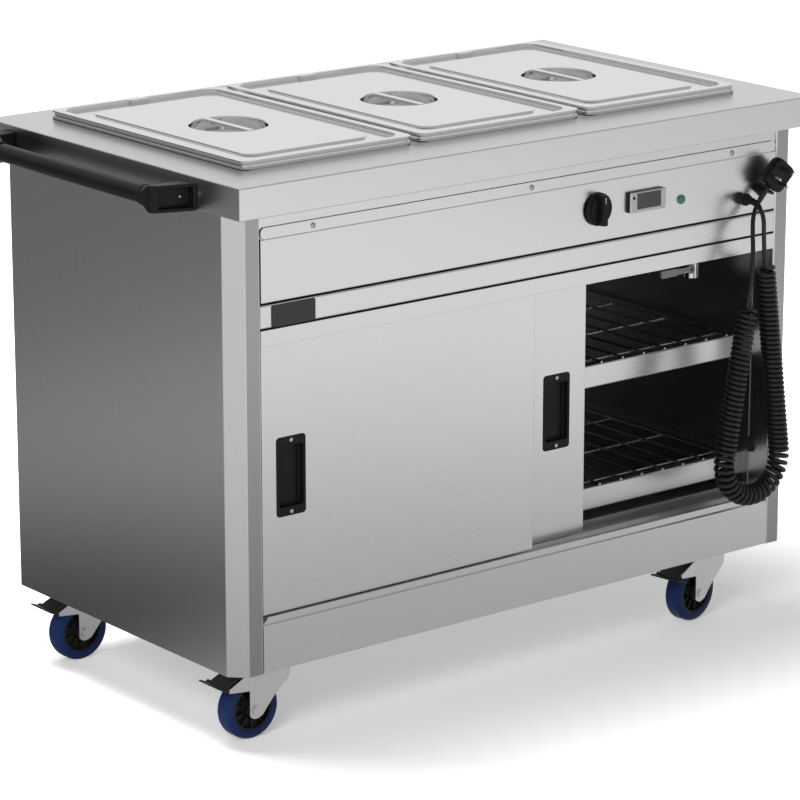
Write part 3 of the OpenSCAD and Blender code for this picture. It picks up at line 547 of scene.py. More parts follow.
def dressed(node, finish, edge=0.0004, steps=2):
    """Gives a piece that is kept as drawn its finish, and edges that are a little round."""
    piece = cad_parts[node]
    piece.data.materials.clear()
    piece.data.materials.append(finish)
    if edge:
        weld = piece.modifiers.new("weld", "WELD")
        weld.merge_threshold = 0.00002
        flat = piece.modifiers.new("flats", "DECIMATE")
        flat.decimate_type = "DISSOLVE"
        flat.angle_limit = math.radians(0.6)
        soften(piece, edge, steps)
        shaded_flat(piece)
    return piece


steel_inner = steel("steel_inner", (0.46, 0.465, 0.47), 0.36, grain=(6, 260, 260), tone=0.08)
heater_metal = moulded("heater_metal", (0.055, 0.05, 0.047), 0.5, grain=600, depth=0.5)
dressed("well_tank", steel_inner)
dressed("pan_bars", steel_top)
dressed("well_element", heater_metal, edge=0)

# ---- Pans and lids ----
# Full-size gastronorm pans pressed from thin stainless steel, each with a bright lid. A lid has
# a flat rim, a sunk channel and a raised middle with a round hand recess and a strip across it.
pan_sheet = 0.001
pan_w, pan_l, pan_deep = 0.15, 0.2525, 0.15
pan_rim_w, pan_rim_l = 0.1625, 0.265
lid_w, lid_l = 0.165, 0.265
recess_r = 0.063
steel_pan = steel("steel_pan", (0.74, 0.75, 0.76), 0.22, grain=(60, 60, 60), tone=0.03)
steel_lid = steel("steel_lid", (0.92, 0.925, 0.93), 0.1, grain=(30, 30, 30), streak=0.03, tone=0.015,
                  depth=0.02)


def pan_loops():
    """From the underside of the floor, up outside, over the rim and down inside."""
    floor_r, rim_r = 0.012, 0.003
    in_w, in_l, in_z = pan_w - pan_sheet, pan_l - pan_sheet, pan_sheet - pan_deep
    rows = [(pan_w - floor_r, pan_l - floor_r, 0.026, -pan_deep)]
    rows += bent((pan_w - floor_r, pan_l - floor_r, 0.038, -pan_deep),
                 (pan_w, pan_l, 0.038, floor_r - pan_deep))
    rows += [(pan_w, pan_l, 0.038, 0), (pan_rim_w - 0.0004, pan_rim_l - 0.0004, 0.0158, 0),
             (pan_rim_w, pan_rim_l, 0.016, 0.0005),
             (pan_rim_w - 0.0004, pan_rim_l - 0.0004, 0.0158, pan_sheet)]
    rows += bent((in_w + rim_r, in_l + rim_r, 0.037 + rim_r, pan_sheet),
                 (in_w, in_l, 0.037, pan_sheet - rim_r))
    rows += bent((in_w, in_l, 0.037, in_z + floor_r), (in_w - floor_r, in_l - floor_r, 0.031, in_z), "up")
    return stacked(rows)


def lid_loops():
    """From the underside of the recess outwards, over the edge and back to the recess."""
    cup = [(0.055, -0.019), (0.0625, -0.0155), (recess_r + 0.001, -0.012), (recess_r + 0.001, 0.0098)]
    rows = [(r, r, r, z) for r, z in cup]
    rows += [(0.118, 0.214, 0.021, 0.0098), (0.118, 0.214, 0.021, 0.007), (0.151, 0.251, 0.024, 0.007),
             (0.1528, 0.2528, 0.026, 0.0088), (0.1528, 0.2528, 0.026, 0.0128)]
    rim = [(0.0008, 0.0125), (0.0035, 0.0095), (0.0035, 0.0065), (0.001, 0.0045), (0.001, 0.001),
           (0, 0.0012), (0, 0.0048), (0.0026, 0.0068), (0.0026, 0.0092), (0.0001, 0.0118), (0.0001, 0.0129),
           (0.0004, 0.0136), (0.0012, 0.014)]
    rows += [(lid_w - inset, lid_l - inset, 0.014 - inset, z) for inset, z in rim]
    rows += bent((0.1535, 0.2535, 0.025, 0.014), (0.1515, 0.2515, 0.025, 0.012))
    rows += bent((0.1515, 0.2515, 0.025, 0.011), (0.1485, 0.2485, 0.025, 0.008), "up")
    rows += bent((0.1215, 0.2175, 0.024, 0.008), (0.12, 0.216, 0.024, 0.0095), steps=3)
    rows += bent((0.12, 0.216, 0.023, 0.0095), (0.1185, 0.2145, 0.023, 0.011), "up", 3)
    rows += [(0.1175, 0.2135, 0.0205, 0.011), (0.068, 0.068, 0.068, 0.011)]
    lip_r, foot_r = recess_r + 0.0035, recess_r - 0.008
    rows += bent((lip_r, lip_r, 0.067, 0.011), (recess_r, recess_r, 0.067, 0.0075), steps=5)
    rows += bent((recess_r, recess_r, recess_r, -0.01), (foot_r, foot_r, recess_r, -0.018), "up", 5)
    return stacked(rows, 12)


def side_walls(path, thick, bend):
    """The two sides of a sheet folded along a path, its bends round, its thickness on the left."""
    bend_steps = 4
    path = [Vector(p) for p in path]
    sides = []
    for off in (0, thick):
        line = []
        for i, p in enumerate(path):
            before = (p - path[i - 1]).normalized() if i else None
            after = (path[i + 1] - p).normalized() if i + 1 < len(path) else None
            d0, d1 = before or after, after or before
            n0, n1 = Vector((-d0.y, d0.x)), Vector((-d1.y, d1.x))
            corner = p + off * (n0 + n1) / (1 + n0.dot(n1))
            turn = math.atan2(d0.x * d1.y - d0.y * d1.x, d0.dot(d1))
            if abs(turn) < 0.01:
                line.append(corner)
                continue
            left = 1 if turn > 0 else -1
            reach = bend + (abs(thick) - abs(off) if left * thick > 0 else abs(off))
            spoke = -n0 * left * reach
            middle = corner - d0 * reach * math.tan(abs(turn) / 2) - spoke
            for k in range(bend_steps + 1):
                line.append(middle + Matrix.Rotation(turn * k / bend_steps, 2) @ spoke)
        sides.append(line)
    return sides


def folded(path, thick, low, high, run="x", bend=0.0015):
    """A folded sheet: its path lies across the run, and it reaches from low to high along it."""
    right, left = side_walls(path, thick, bend)
    stand = {"x": lambda p, s: Vector((s, p.x, p.y)), "y": lambda p, s: Vector((p.x, s, p.y)),
             "z": lambda p, s: Vector((p.x, p.y, s))}[run]
    points = [stand(p, s) for s in (low, high) for p in right + left]
    n = len(right)
    faces = []
    for i in range(n - 1):
        for start in (0, n):
            a, b = start + i, start + i + 1
            faces.append((a, b, b + 2 * n, a + 2 * n))
        for start in (0, 2 * n):
            faces.append((start + i, start + i + 1, start + n + i + 1, start + n + i))
    for i in (0, n - 1):
        faces.append((i, n + i, 3 * n + i, 2 * n + i))
    return points, faces


strip_half, strip_deep = 0.0065, 0.0055
strip_path = [(-strip_half, 0.006), (-strip_half, 0.006 + strip_deep), (strip_half, 0.006 + strip_deep),
              (strip_half, 0.006)]
grip_strip = folded(strip_path, -0.001, -recess_r - 0.0002, recess_r + 0.0002, run="y")
tabs = [slab(0.018, 0.0045, 0.004, 0.0075, 0.0139, 0, 0.0015, (0, s * 0.2505)) for s in (-1, 1)]
for name, x in (("left", -pan_pitch), ("middle", 0), ("right", pan_pitch)):
    seat = Matrix.Translation((mid_x + x, well_y, top_z))
    fitted("gn_pan_" + name, placed(lofted(pan_loops()), seat), steel_pan, ["pan_" + name],
           "pan_%s_body" % name)
    fitted("gn_lid_" + name, placed(joined(lofted(lid_loops()), grip_strip, *tabs), seat), steel_lid,
           ["lid_" + name], "lid_%s_body" % name)

# ---- Body shell ----
# Brushed stainless sheets on a plain base. Each side sheet is folded in one with the sloping
# corner, the front strip and the door jamb; the plinth, tracks and rails run between the jambs.
steel_body = steel("steel_body", (0.77, 0.775, 0.78), 0.28, depth=0.025)
# Side sheets: the same steel with its grain upright, its tone painted darker as shade on the sides and the
# sloping corners.
upright_grain_and_shade_steel = steel("upright_grain_and_shade_steel", (0.71, 0.715, 0.72), 0.28, grain=(420, 420, 4), depth=0.02)
# Front strips of the side sheets: a much darker copy of the steel, painted shade where they face the front.
strip_steel_painted_shade = steel("strip_steel_painted_shade", (0.4, 0.405, 0.41), 0.3, grain=(420, 420, 4), depth=0.02)
side_x = 0.586
front_y = -0.317
back_y = 0.287
base_z = 0.124
under_top = top_z - sheet
corner_cut = 0.025
strip_w = 0.028
jamb_deep = 0.055
jamb_x = side_x - corner_cut - strip_w
inside_y = front_y + jamb_deep
side_path = [(-side_x, back_y), (-side_x, front_y + corner_cut), (-side_x + corner_cut, front_y),
             (-jamb_x, front_y), (-jamb_x, inside_y)]
for name, flip in (("left_side", 1), ("right_side", -1)):
    shape = folded(side_path, sheet, base_z, under_top, run="z")
    seat = Matrix.Translation((mid_x, 0, 0)) @ Matrix.Diagonal((flip, 1, 1, 1))
    side = fitted(name + "_sheet", placed(shape, seat), upright_grain_and_shade_steel, [name])
    # Faces of the front strip take the darker copy, as painted shade.
    side.data.materials.append(strip_steel_painted_shade)
    for face in side.data.polygons:
        face.material_index = int(face.normal.y < -0.99 and face.center.y < front_y + 0.001)

rail_from, rail_to = mid_x - jamb_x, mid_x + jamb_x
lip_z0 = top_z - 0.257
rail_z0, rail_z1 = top_z - 0.229, top_z - 0.192
plinth_top = base_z + 0.078
plinth_lap = [(rail_from + 0.0005, plinth_top - 0.001), (rail_to - 0.0005, plinth_top - 0.001),
              (rail_to - 0.0115, plinth_top + 0.0105), (rail_from + 0.0115, plinth_top + 0.0105)]
lap_sheet = lofted([[Vector((x, y, z)) for x, z in plinth_lap] for y in (front_y + 0.0052, front_y + 0.0037)])
plinth_path = [(inside_y, base_z), (front_y, base_z), (front_y, plinth_top), (front_y + 0.004, plinth_top)]
fitted("plinth_sheet", joined(folded(plinth_path, -sheet, rail_from, rail_to), lap_sheet), steel_body,
       ["plinth"])
for name, edge in (("door_tracks", 0.0005), ("back_panel", 0.0004), ("base_plate", 0.0004)):
    dressed(name, steel_body, edge)
cross_rail = folded([(front_y + 0.016, rail_z1), (front_y + 0.0008, rail_z1),
                     (front_y + 0.0008, rail_z0), (front_y + 0.016, rail_z0)], sheet, rail_from, rail_to)
upper_rail = folded([(front_y + 0.016, under_top), (front_y + 0.003, under_top),
                     (front_y + 0.003, top_z - 0.089)], sheet, rail_from, rail_to)
fitted("front_rail_sheets", joined(cross_rail, upper_rail), steel_body, ["front_rails"])

# A thin gloss black plate, glued to the cross rail
black_plate = moulded("black_plate", (0.006, 0.006, 0.007), 0.16, grain=60, depth=0.02)
plate_low, plate_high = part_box("badge_plate")


def on_front(x, y, z):
    """Set on the front: local X to the right, local Y up, local Z out towards the front."""
    return Matrix.Translation((x, y, z)) @ spun(90, "X")


plate_mid = (plate_low + plate_high) / 2
fitted("bare_plate",
       placed(slab((plate_high.x - plate_low.x) / 2, (plate_high.z - plate_low.z) / 2, 0.003,
                   -0.0008, front_y - plate_low.y, 0, 0.0006), on_front(plate_mid.x, front_y, plate_mid.z)),
       black_plate, ["badge_plate"])

# ---- Control panel ----
# A brushed stainless panel with a slight step near its top, screwed to the rail under the
# worktop by three domed screws.
face_y = front_y - 0.0005
panel_bend = top_z - 0.09
panel_foot = top_z - 0.189
panel_mid, panel_half = (top_z - 0.073 + panel_bend) / 2, 0.0088
panel_tab = placed(slab(rail_to - mid_x - 0.0015, panel_half, 0.008, -0.0009, 0.0002, 0, 0.0002),
                   on_front(mid_x, front_y + 0.0004, panel_mid))
panel_path = [(front_y + 0.0012, panel_bend + 0.002), (front_y + 0.0012, panel_bend + 0.0002),
              (face_y, panel_bend - 0.0006), (face_y, panel_foot), (front_y + 0.014, panel_foot)]
fitted("control_panel_sheet",
       joined(folded(panel_path, sheet, rail_from + 0.0008, rail_to - 0.0008, bend=0.0005), panel_tab),
       steel_body, ["control_panel"])
screw_steel = steel("screw_steel", (0.6, 0.6, 0.61), 0.22, grain=(300, 300, 300))
screw_z = top_z - 0.0815
screw_step = 0.433


def domed_screw(x, y, z, head_r, head_h, out=(0, -1, 0)):
    """A round head with a socket in it."""
    profile = [(head_r, 0), (head_r, head_h * 0.2)]
    profile += [(head_r * math.cos(a), head_h * (0.2 + 0.8 * math.sin(a))) for a in (0.4, 0.8, 1.05)]
    profile += [(head_r * 0.36, head_h), (head_r * 0.33, head_h * 0.5), (0, head_h * 0.45)]
    return turned(profile, (x, y, z), out, 24)


panel_screws = [domed_screw(mid_x + s * screw_step, front_y + 0.0004, screw_z, 0.0046, 0.0026)
                for s in (-1, 0, 1)]
fitted("panel_screw_heads", joined(*panel_screws), screw_steel, ["panel_screws"])

# ---- Thermostat and its knob ----
# The thermostat hangs behind the panel, and its spindle comes through to a moulded black knob
# with a skirt, a raised grip bar and a pale pointer line.
knob_x, knob_z = mid_x + 0.138, top_z - 0.135
grey_plastic = moulded("grey_plastic", (0.3, 0.3, 0.3), 0.5)
dressed("thermostat", grey_plastic, 0.0006)


def grip_bar(half_w, half_l, low, high, lean):
    """The knob's bar: its ends follow the skirt, and its sides lean in towards the top."""
    steps = 8
    loops = []
    for h, k in ((low, 1), (high - 0.0015, lean), (high - 0.0004, lean - 0.05), (high, lean - 0.16)):
        end_r = half_l * (0.9 + 0.1 * k)
        loop = []
        for side in (1, -1):
            for j in range(steps + 1):
                x = half_w * k * side * (1 - 2 * j / steps)
                loop.append(Vector((x, side * math.sqrt(end_r ** 2 - x * x), h)))
        loops.append(loop)
    return lofted(loops)


knob_profile = [(0.0269, 0.002), (0.027, 0.0024), (0.027, 0.0052), (0.0264, 0.006), (0.0232, 0.0066),
                (0.0222, 0.0072), (0.0218, 0.0104), (0.0212, 0.011), (0, 0.0112)]
knob_at = (knob_x, face_y, knob_z)
rib = slab(0.0005, 0.0013, 0.0004, 0.0262, 0.0271, 0, 0.0002)
ribs = ringed(rib, Matrix.Translation((knob_x, face_y - 0.0038, knob_z)), count=36)
knob_set = on_front(*knob_at)
knob_bar = placed(grip_bar(0.0068, 0.0256, 0.006, 0.021, 0.82), knob_set)
fitted("knob_moulding", joined(turned(knob_profile, knob_at, sides=72), knob_bar, ribs),
       black_plastic, ["knob"], "knob_body", edge=0.0005)
pointer_white = moulded("pointer_white", (0.75, 0.75, 0.73), 0.4, grain=300, depth=0.05)
pointer = slab(0.0006, 0.0055, 0.0005, 0.0204, 0.0212, 0, 0.0003, (0, 0.0165))
fitted("knob_pointer", placed(pointer, knob_set), pointer_white, body="knob_body")

# ---- Temperature display ----
# A black housing clipped into the panel from the front, with a silver bezel, a dark window sunk
# a little, and one black key at the left of the window.
display_x, display_z = mid_x + 0.241, top_z - 0.134
key_x, key_z = display_x - 0.0315, display_z + 0.008
display_set = on_front(display_x, face_y, display_z)
silver = moulded("display", (0.5, 0.5, 0.51), 0.32, grain=700, depth=0.05)
screen_glass = moulded("screen_glass", (0.05, 0.055, 0.06), 0.14, grain=20, depth=0.01)
window_at = (0.002, 0.0015)
housing = [(0.035, 0.014, 0.001, -0.05), (0.035, 0.014, 0.001, 0), (0.0385, 0.017, 0.0025, 0),
           (0.0385, 0.017, 0.0025, 0.0064)]
bezel = [(0.0385, 0.017, 0.0025, 0.0064)]
bezel += bent((0.0385, 0.017, 0.0025, 0.0067), (0.0367, 0.0152, 0.0025, 0.0085), "up")
bezel += [(0.0272, 0.0139, 0.0012, 0.0085, window_at), (0.0266, 0.0133, 0.001, 0.0083, window_at),
          (0.0262, 0.0129, 0.0008, 0.0072, window_at)]
window = slab(0.0261, 0.0128, 0.0008, 0.0068, 0.0076, 0, 0.0002, window_at)
fitted("display_housing", placed(lofted(stacked(housing)), display_set), black_plastic, ["display"])
fitted("display_bezel", placed(lofted(stacked(bezel)), display_set), silver)
fitted("display_window", placed(window, display_set), screen_glass)
key_profile = [(0.0024, 0.0045), (0.0025, 0.005), (0.0025, 0.009), (0.0021, 0.0095), (0, 0.00955)]
fitted("display_key_cap", turned(key_profile, (key_x, face_y, key_z), sides=24), black_plastic,
       ["display_key"], "key_body")

# ---- Indicator lamp ----
# A green plastic lens with a thin flange, moulded in one and pushed into its hole in the panel
# from the front. It shows that the heating is on.
lamp_at = (mid_x + 0.32, face_y, top_z - 0.144)
lamp_green = moulded("lamp", (0.05, 0.19, 0.14), 0.2, grain=200, depth=0.05)
lamp_profile = [(0.0055, -0.022), (0.0055, 0), (0.0079, 0), (0.008, 0.0006), (0.0078, 0.0018),
                (0.0068, 0.0025), (0.0064, 0.0026), (0.0062, 0.004), (0.0052, 0.0052), (0.0032, 0.0058),
                (0, 0.006)]
fitted("lamp_lens", turned(lamp_profile, lamp_at), lamp_green, ["indicator_lamp"])

# ---- Cord hook ----
# Black nylon fork, moulded in one and screwed to the panel, with a slot that the plug's boot
# drops into.
dressed("cord_hook", black_plastic, 0.0006)

# ---- Push handle ----
# A black plastic tube between two moulded brackets that are screwed to the worktop's left end.
# Each bracket is an arm with a pocket for its screw, and it narrows to a collar round the tube.
handle_x = mid_x - top_w
handle_z = top_z - 0.03
collar_r = 0.017
bar_out = 0.067 - collar_r
bar_x = handle_x - bar_out
handle_y = 0.026
bar_half = 0.197
bar_r = 0.0145
bar_line = [(bar_x, handle_y + s * (bar_half + 0.006), handle_z) for s in (-1, -0.5, 0, 0.5, 1)]
fitted("handle_tube", tube(bar_line, bar_r, 48), black_plastic, ["handle_bar"], edge=0.0004)
bracket_h = 0.042
bracket_plan = [(0, -0.237), (-0.061, -0.217), (-0.067, -0.21), (-0.067, -0.2032), (-0.033, -0.2032),
                (-0.012, -0.205), (0, -0.209)]
pocket_plan = [(-0.005, -0.24), (-0.005, -0.219), (-0.057, -0.21), (-0.057, -0.23)]
pocket_half = 0.0155
collar_rows = [(0.017, 0.021, 0.0016, -0.206), (0.017, 0.021, 0.0016, -0.2032)]
collar_rows += [(r, r, r, z) for r, z in ((0.0162, -0.181), (0.0162, -0.1795), (collar_r, -0.1787),
                                          (collar_r, -0.1717), (0.0163, -0.171), (0.0147, -0.171),
                                          (0.0147, -0.176))]


def cut(piece, shape):
    """Cuts a shape out of a piece's mesh."""
    tool = in_scene("cutter", skin("cutter", shape))
    saw = piece.modifiers.new("cut", "BOOLEAN")
    saw.operation = "DIFFERENCE"
    saw.solver = "EXACT"
    saw.object = tool
    bpy.context.view_layer.update()
    made = bpy.data.meshes.new_from_object(piece.evaluated_get(bpy.context.evaluated_depsgraph_get()))
    piece.modifiers.clear()
    piece.data = made
    bpy.data.objects.remove(tool)


def prism(outline, z0, z1):
    """Upright block over an outline."""
    return lofted([[Vector((x, y, z)) for x, y in outline] for z in (z0, z1)])


for name, side in (("front", 1), ("rear", -1)):
    seat = Matrix.Translation((handle_x, handle_y * (1 - side), handle_z)) @ Matrix.Diagonal((1, side, 1, 1))
    block = placed(prism(bracket_plan, -bracket_h / 2, bracket_h / 2), seat)
    bracket = fitted("handle_bracket_" + name, block, black_plastic, ["handle_brackets"] if side == 1 else ())
    cut(bracket, placed(prism(pocket_plan, -pocket_half, pocket_half), seat))
    bracket.data.materials.clear()
    bracket.data.materials.append(black_plastic)
    shaded_flat(soften(bracket, 0.0016, 3))
    collar_set = seat @ Matrix.Translation((-bar_out, 0, 0)) @ spun(-90, "X")
    fitted("handle_collar_" + name, placed(lofted(stacked(collar_rows)), collar_set), black_plastic,
           edge=0.0004)
    screw_at = seat @ Vector((-0.017, -0.2172, 0))
    fitted("handle_screw_" + name, domed_screw(*screw_at, 0.0036, 0.002, (0.35, -side, 0)), screw_steel)

# ---- Inside of the cupboard ----
# Liner, floor and ceiling of dull stainless sheet, folded shelf rails, a drain valve under the
# well with its lever, and a heating rod that passes back through the liner.
for name in ("liner", "cupboard_floor", "cupboard_ceiling"):
    dressed(name, steel_inner)
in_x = jamb_x - 0.0012
shelf_zs = (0.273, 0.483)
rail_y = front_y + 0.067
rail_h = 0.039
liner_y1 = back_y - 0.054
back_rail_y = liner_y1 - 0.0012
runner = 0.014
runner_half = (liner_y1 - rail_y) / 2 - runner
shelf_parts = []
for z in shelf_zs:
    front_path = [(rail_y + runner, z), (rail_y, z), (rail_y, z - rail_h), (rail_y + runner, z - rail_h)]
    back_path = [(back_rail_y, z - 0.02), (back_rail_y, z), (back_rail_y - runner, z)]
    for path in (front_path, back_path):
        shelf_parts.append(folded(path, sheet, mid_x - in_x, mid_x + in_x))
    for s in (-1, 1):
        seat = Matrix.Translation((mid_x + s * (in_x - runner / 2), (liner_y1 + rail_y) / 2, 0))
        shelf_parts.append(placed(slab(runner / 2, runner_half, 0.0005, z - sheet, z), seat))
fitted("shelf_rails", joined(*shelf_parts), steel_body, ["shelf_supports"])
dressed("cupboard_element", heater_metal, edge=0)
valve_chrome = steel("valve_chrome", (0.75, 0.75, 0.76), 0.12, grain=(90, 90, 90), tone=0.02)
lever_grey = moulded("lever_grey", (0.42, 0.42, 0.43), 0.35)
dressed("drain_valve", valve_chrome, 0.0008)
dressed("drain_lever", lever_grey, 0.0008)

# ---- Wire racks ----
# Bright drawn wires, 5 mm thick, welded across four wires that lie on the rails. Their ends
# are cropped and tumbled round.
wire_r = 0.0025
wire_step = 0.047
wire_n = 22
cross_n = 4
cross_step = 0.134
bright_wire = steel("wire", (0.72, 0.73, 0.74), 0.16, grain=(40, 40, 40), tone=0.03)


def rod(a, b, r):
    """A straight wire with rounded ends."""
    a, b = Vector(a), Vector(b)
    ahead = (b - a).normalized()
    line = [a, a + ahead * r * 0.2, a + ahead * r * 0.6, a + ahead * r * 1.2,
            b - ahead * r * 1.2, b - ahead * r * 0.6, b - ahead * r * 0.2, b]
    return tube(line, [r * k for k in (0.4, 0.72, 0.93, 1, 1, 0.93, 0.72, 0.4)])


for name, z in (("lower", shelf_zs[0]), ("upper", shelf_zs[1])):
    wires = []
    for i in range(wire_n):
        x = mid_x + (i - (wire_n - 1) / 2) * wire_step
        wires.append(rod((x, rail_y - 0.002, z + wire_r), (x, liner_y1 - 0.008, z + wire_r), wire_r))
    reach = wire_step * (wire_n - 1) / 2 + 0.01
    cross_z = z - wire_r + 0.0008
    for k in range(cross_n):
        y = rail_y + 0.03 + k * cross_step
        wires.append(rod((mid_x - reach, y, cross_z), (mid_x + reach, y, cross_z), wire_r))
    fitted(name + "_wire_rack", joined(*wires), bright_wire, [name + "_rack"])

# ---- Sliding doors ----
# Each door is a shallow tray of brushed stainless sheet, open behind. The left one runs in
# front of the right one. Rubber buffers on the jambs stop them.
door_w, door_z0 = 0.544, base_z + 0.089
door_h = lip_z0 + 0.012 - door_z0
door_t = 0.016
thin = 0.0012
pull_w, pull_h, pull_z = 0.056, 0.127, 0.43
hole_w, hole_h = pull_w / 2 - 0.003, pull_h / 2 - 0.013
buffer_rubber = moulded("buffer_rubber", (0.02, 0.02, 0.02), 0.6)


def door_tray(pull_across, pull_up):
    """Closed skin of the tray, from the pull's opening out over the front and round to its back."""
    w, h = door_w / 2, door_h / 2
    rows = [(hole_w, hole_h, 0.001, y, (pull_across, pull_up)) for y in (-thin, 0)]
    rows += bent((w - 0.0016, h - 0.0016, 0.0018, 0), (w, h, 0.0018, -0.0016)) + [(w, h, 0.0018, -door_t)]
    rows += [(w - thin, h - thin, 0.0008, y) for y in (-door_t, -thin)]
    return lofted(stacked(rows), closed=True)


def pull_tray():
    """Flush plate with a deep finger recess."""
    w, h = pull_w / 2, pull_h / 2
    rows = [(w - 0.0042, h - 0.0142, 0.002, -0.011), (w - 0.0032, h - 0.0132, 0.003, -0.0098),
            (w - 0.0032, h - 0.0132, 0.003, 0), (w, h, 0.006, 0)]
    rows += bent((w, h, 0.006, 0.0003), (w - 0.0012, h - 0.0012, 0.006, 0.0015), "up")
    rows += bent((w - 0.004, h - 0.014, 0.004, 0.0015), (w - 0.005, h - 0.015, 0.004, 0.0005))
    rows += bent((w - 0.005, h - 0.015, 0.004, -0.0075), (w - 0.007, h - 0.017, 0.004, -0.0095), "up")
    return lofted(stacked(rows))


for name in ("left", "right"):
    body = name + "_door_body"
    low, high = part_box(name + "_door")
    pull_low, pull_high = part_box("door_pull_" + name)
    middle = ((low.x + high.x) / 2, low.y, (low.z + high.z) / 2)
    pull_x = (pull_low.x + pull_high.x) / 2
    tray = placed(door_tray(pull_x - middle[0], pull_z - middle[2]), on_front(*middle))
    fitted(name + "_door_tray", tray, steel_body, [name + "_door"], body)
    fitted("pull_tray_" + name, placed(pull_tray(), on_front(pull_x, low.y, pull_z)), black_plastic,
           ["door_pull_" + name], body)
    screws = [domed_screw(pull_x, low.y - 0.0012, pull_z + s * (pull_h / 2 - 0.0065), 0.0034, 0.0011)
              for s in (-1, 1)]
    fitted("pull_screws_" + name, joined(*screws), screw_steel, body=body)
dressed("door_buffers", buffer_rubber, 0.0012, 3)

# ---- Castors ----
# Zinc-plated pressed plates and forks, navy elastic tyres on black centres, and black brake
# pedals. The front right one stands turned a little with its brake on.
zinc = steel("zinc", (0.86, 0.86, 0.85), 0.34, grain=(70, 70, 70), tone=0.06)
tyre_navy = moulded("tyre_navy", (0.004, 0.02, 0.1), 0.5, grain=500, depth=0.3, shine=0.3)
pedal_black = moulded("pedal_black", (0.01, 0.01, 0.011), 0.4)
rim_black = moulded("rim_black", (0.008, 0.008, 0.009), 0.4, shine=0.35)
dressed("castor_plates", zinc, 0.0008)
castor_x, castor_y, castor_mid_y = 0.465, 0.238, -0.0145
trail, wheel_r = 0.054, 0.05
tyre_half, rim_r = 0.016, 0.036


def tyre_profile():
    """Tyre from its inner edge on one side, over the tread, to the other side."""
    half = [(rim_r - 0.0005, -tyre_half + 0.0012), (rim_r + 0.0005, -tyre_half),
            (rim_r + 0.004, -tyre_half), (wheel_r - 0.0075, -tyre_half + 0.0006)]
    half += [(wheel_r - 0.0075 + 0.0075 * math.cos(a), -tyre_half + 0.008 + 0.0075 * math.sin(a))
             for a in (math.radians(d) for d in (-75, -60, -45, -30, -15, 0))]
    return half + [(r, -s) for r, s in reversed(half)]


def rim_profile():
    """Black centre: hub, dished web with a ring of ribs between it and the tyre seat."""
    half = [(0.0052, -0.02), (0.0135, -0.02), (0.014, -0.0195), (0.0145, -0.009), (0.0165, -0.0065),
            (0.0295, -0.0065), (0.0315, -0.0085), (0.0325, -0.0148), (0.0355, -0.0152), (0.0365, -0.0142)]
    return half + [(r, -s) for r, s in reversed(half)]


spoke = slab(0.0013, 0.0125, 0.001, 0.015, 0.0345, 0.001, 0.001)
for name, sx, sy, degrees in (("fl", -1, -1, 0), ("fr", 1, -1, 8), ("rl", -1, 1, 0), ("rr", 1, 1, 0)):
    turn = spun(degrees, "Z")
    castor = Matrix.Translation((mid_x + sx * castor_x, castor_mid_y + sy * castor_y, 0)) @ turn
    hub = castor @ Vector((-trail, 0, wheel_r))
    axle = castor.to_3x3() @ Vector((0, 1, 0))
    spokes = ringed(spoke, Matrix.Translation(hub) @ turn, count=10)
    body = "wheel_%s_body" % name
    fitted("tyre_" + name, turned(tyre_profile(), hub, axle, 72, True), tyre_navy, ["wheel_" + name], body)
    fitted("wheel_centre_" + name, joined(turned(rim_profile(), hub, axle, 48, True), spokes), rim_black,
           body=body, edge=0.0004)
    dressed("fork_" + name, zinc, 0.0007)
    dressed("pedal_" + name, pedal_black, 0.0006)

# ---- Floor and light ----
# A roll of white paper under the trolley, and two large soft lamps: one above and behind it, and
# a weaker one at the left of its front. The bright steel mirrors a studio that is light behind
# the trolley and along its floor, and grey in front of it and overhead.
paper_half = 9
floor_mesh = bpy.data.meshes.new("floor")
floor_corners = [(x * paper_half, y * paper_half, 0) for x, y in ((-1, -1), (1, -1), (1, 1), (-1, 1))]
floor_mesh.from_pydata(floor_corners, [], [(0, 1, 2, 3)])
in_scene("floor", floor_mesh)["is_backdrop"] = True


def ramp(source, low, high, at_low, at_high):
    """Takes a value from one range to another, with soft ends."""
    return wired(tree, "MapRange", source, low, high, at_low, at_high,
                 interpolation_type="SMOOTHSTEP").outputs["Result"]


def between(factor, a, b):
    return wired(tree, "Mix", Factor=factor, A=a, B=b).outputs["Result"]


def maths(operation, a, b):
    return wired(tree, "Math", a, b, operation=operation).outputs["Value"]


# The metal sees only a glow painted on the paper, with painted shade in it: dimmer close to the trolley and
# far to either side, and a painted dark patch at its left rear
paper = bpy.data.materials.new("paper")
paper.use_nodes = True
tree = paper.node_tree
tree.nodes.clear()
ray = wired(tree, "LightPath").outputs
place = wired(tree, "NewGeometry").outputs["Position"]
axes = wired(tree, "SeparateXYZ", place).outputs
far = wired(tree, "VectorMath", place, operation="LENGTH").outputs["Value"]
paper_shade = ramp(far, 0.6, 3.2, 0.45, 1.05)
painted_dark_patch = ramp(far, 0.8, 2.6, 0.04, 0.36)
leftward = ramp(axes["X"], -0.8, 0.1, 1.0, 0.0)
rearward = ramp(axes["Y"], -0.4, 0.4, 0.0, 1.0)
deeper = ramp(axes["Y"], 0.8, 2.2, 1.6, 0.46)
right_end = ramp(axes["X"], 1.9, 2.7, 1.0, 0.62)
left_end = ramp(axes["X"], -2.6, -0.6, 0.76, 1.0)
bright = maths("MULTIPLY", maths("MULTIPLY", paper_shade, right_end), left_end)
dark = maths("MULTIPLY", painted_dark_patch, deeper)
in_steel = between(between(leftward, 0.0, rearward), bright, dark)
glow = between(ray["Is Camera Ray"], 0.0, ramp(far, 0.8, 1.7, 0.34, 1.0))
matt = wired(tree, "BsdfDiffuse", (0.82, 0.82, 0.82, 1)).outputs["BSDF"]
lit_paper = wired(tree, "AddShader", matt, wired(tree, "Emission", Strength=glow).outputs["Emission"])
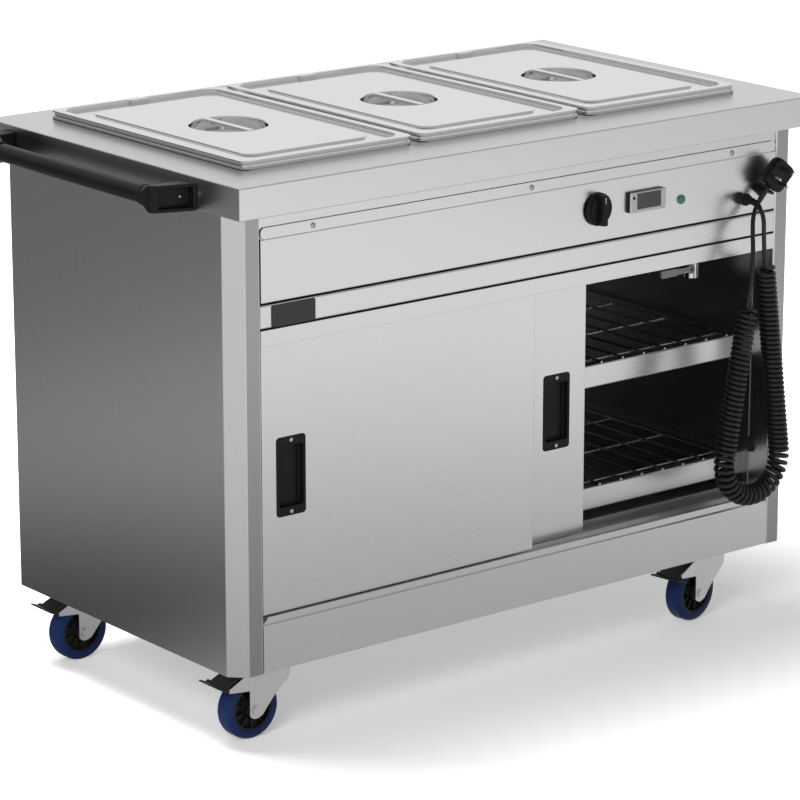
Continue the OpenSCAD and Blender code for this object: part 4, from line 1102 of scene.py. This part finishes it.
both = wired(tree, "MixShader", ray["Is Glossy Ray"], lit_paper.outputs["Shader"],
             wired(tree, "Emission", Strength=in_steel).outputs["Emission"])
wired(tree, "OutputMaterial", both.outputs["Shader"])
floor_mesh.materials.append(paper)

# The studio is white to the camera, and as light as each side of it is to everything else
world = bpy.data.worlds.new("studio")
bpy.context.scene.world = world
world.use_nodes = True
tree = world.node_tree
tree.nodes.clear()
ray = wired(tree, "LightPath").outputs
way = wired(tree, "TexCoord").outputs["Generated"]
axes = wired(tree, "SeparateXYZ", way).outputs
behind = wired(tree, "VectorMath", way, (0.62, 0.78, 0), operation="DOT_PRODUCT").outputs["Value"]
back_light = ramp(behind, 0.3, 0.85, 0.0, 0.95)
near_floor = ramp(axes["Z"], 0.0, 0.24, 0.75, 0.03)
in_front = ramp(axes["Y"], -0.3, 0.3, 1.0, 0.12)
in_room = ramp(axes["Y"], -0.6, 0.0, 0.45, 0.0)
overhead = ramp(axes["Z"], 0.14, 0.34, 0.0, 0.5)
in_steel = maths("MULTIPLY", ray["Is Glossy Ray"], maths("MAXIMUM", in_room, overhead))
on_all = maths("MAXIMUM", back_light, maths("MULTIPLY", near_floor, in_front))
sky = wired(tree, "Background", Strength=maths("MAXIMUM", on_all, in_steel)).outputs["Background"]
white = wired(tree, "Background", (1, 1, 1, 1), 1).outputs["Background"]
pick = wired(tree, "MixShader", ray["Is Camera Ray"], sky, white)
wired(tree, "OutputWorld", pick.outputs["Shader"])


def soft_lamp(name, at, aim, width, height, watts):
    light = bpy.data.lights.new(name, "AREA")
    light.shape = "RECTANGLE"
    light.size, light.size_y = width, height
    light.energy = watts
    lamp = in_scene(name, light)
    lamp.location = at
    lamp.rotation_euler = (Vector(aim) - Vector(at)).to_track_quat("-Z", "Y").to_euler()
    lamp.visible_glossy = False


soft_lamp("top_lamp", (-0.6, 1.1, 4.4), (0, 0, 0), 2.4, 2.4, 340)
soft_lamp("side_lamp", (-3.2, -2.2, 2.4), (0, 0, 0.3), 1.6, 1.6, 90)

bpy.context.scene.view_settings.view_transform = "Standard"

low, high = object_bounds()
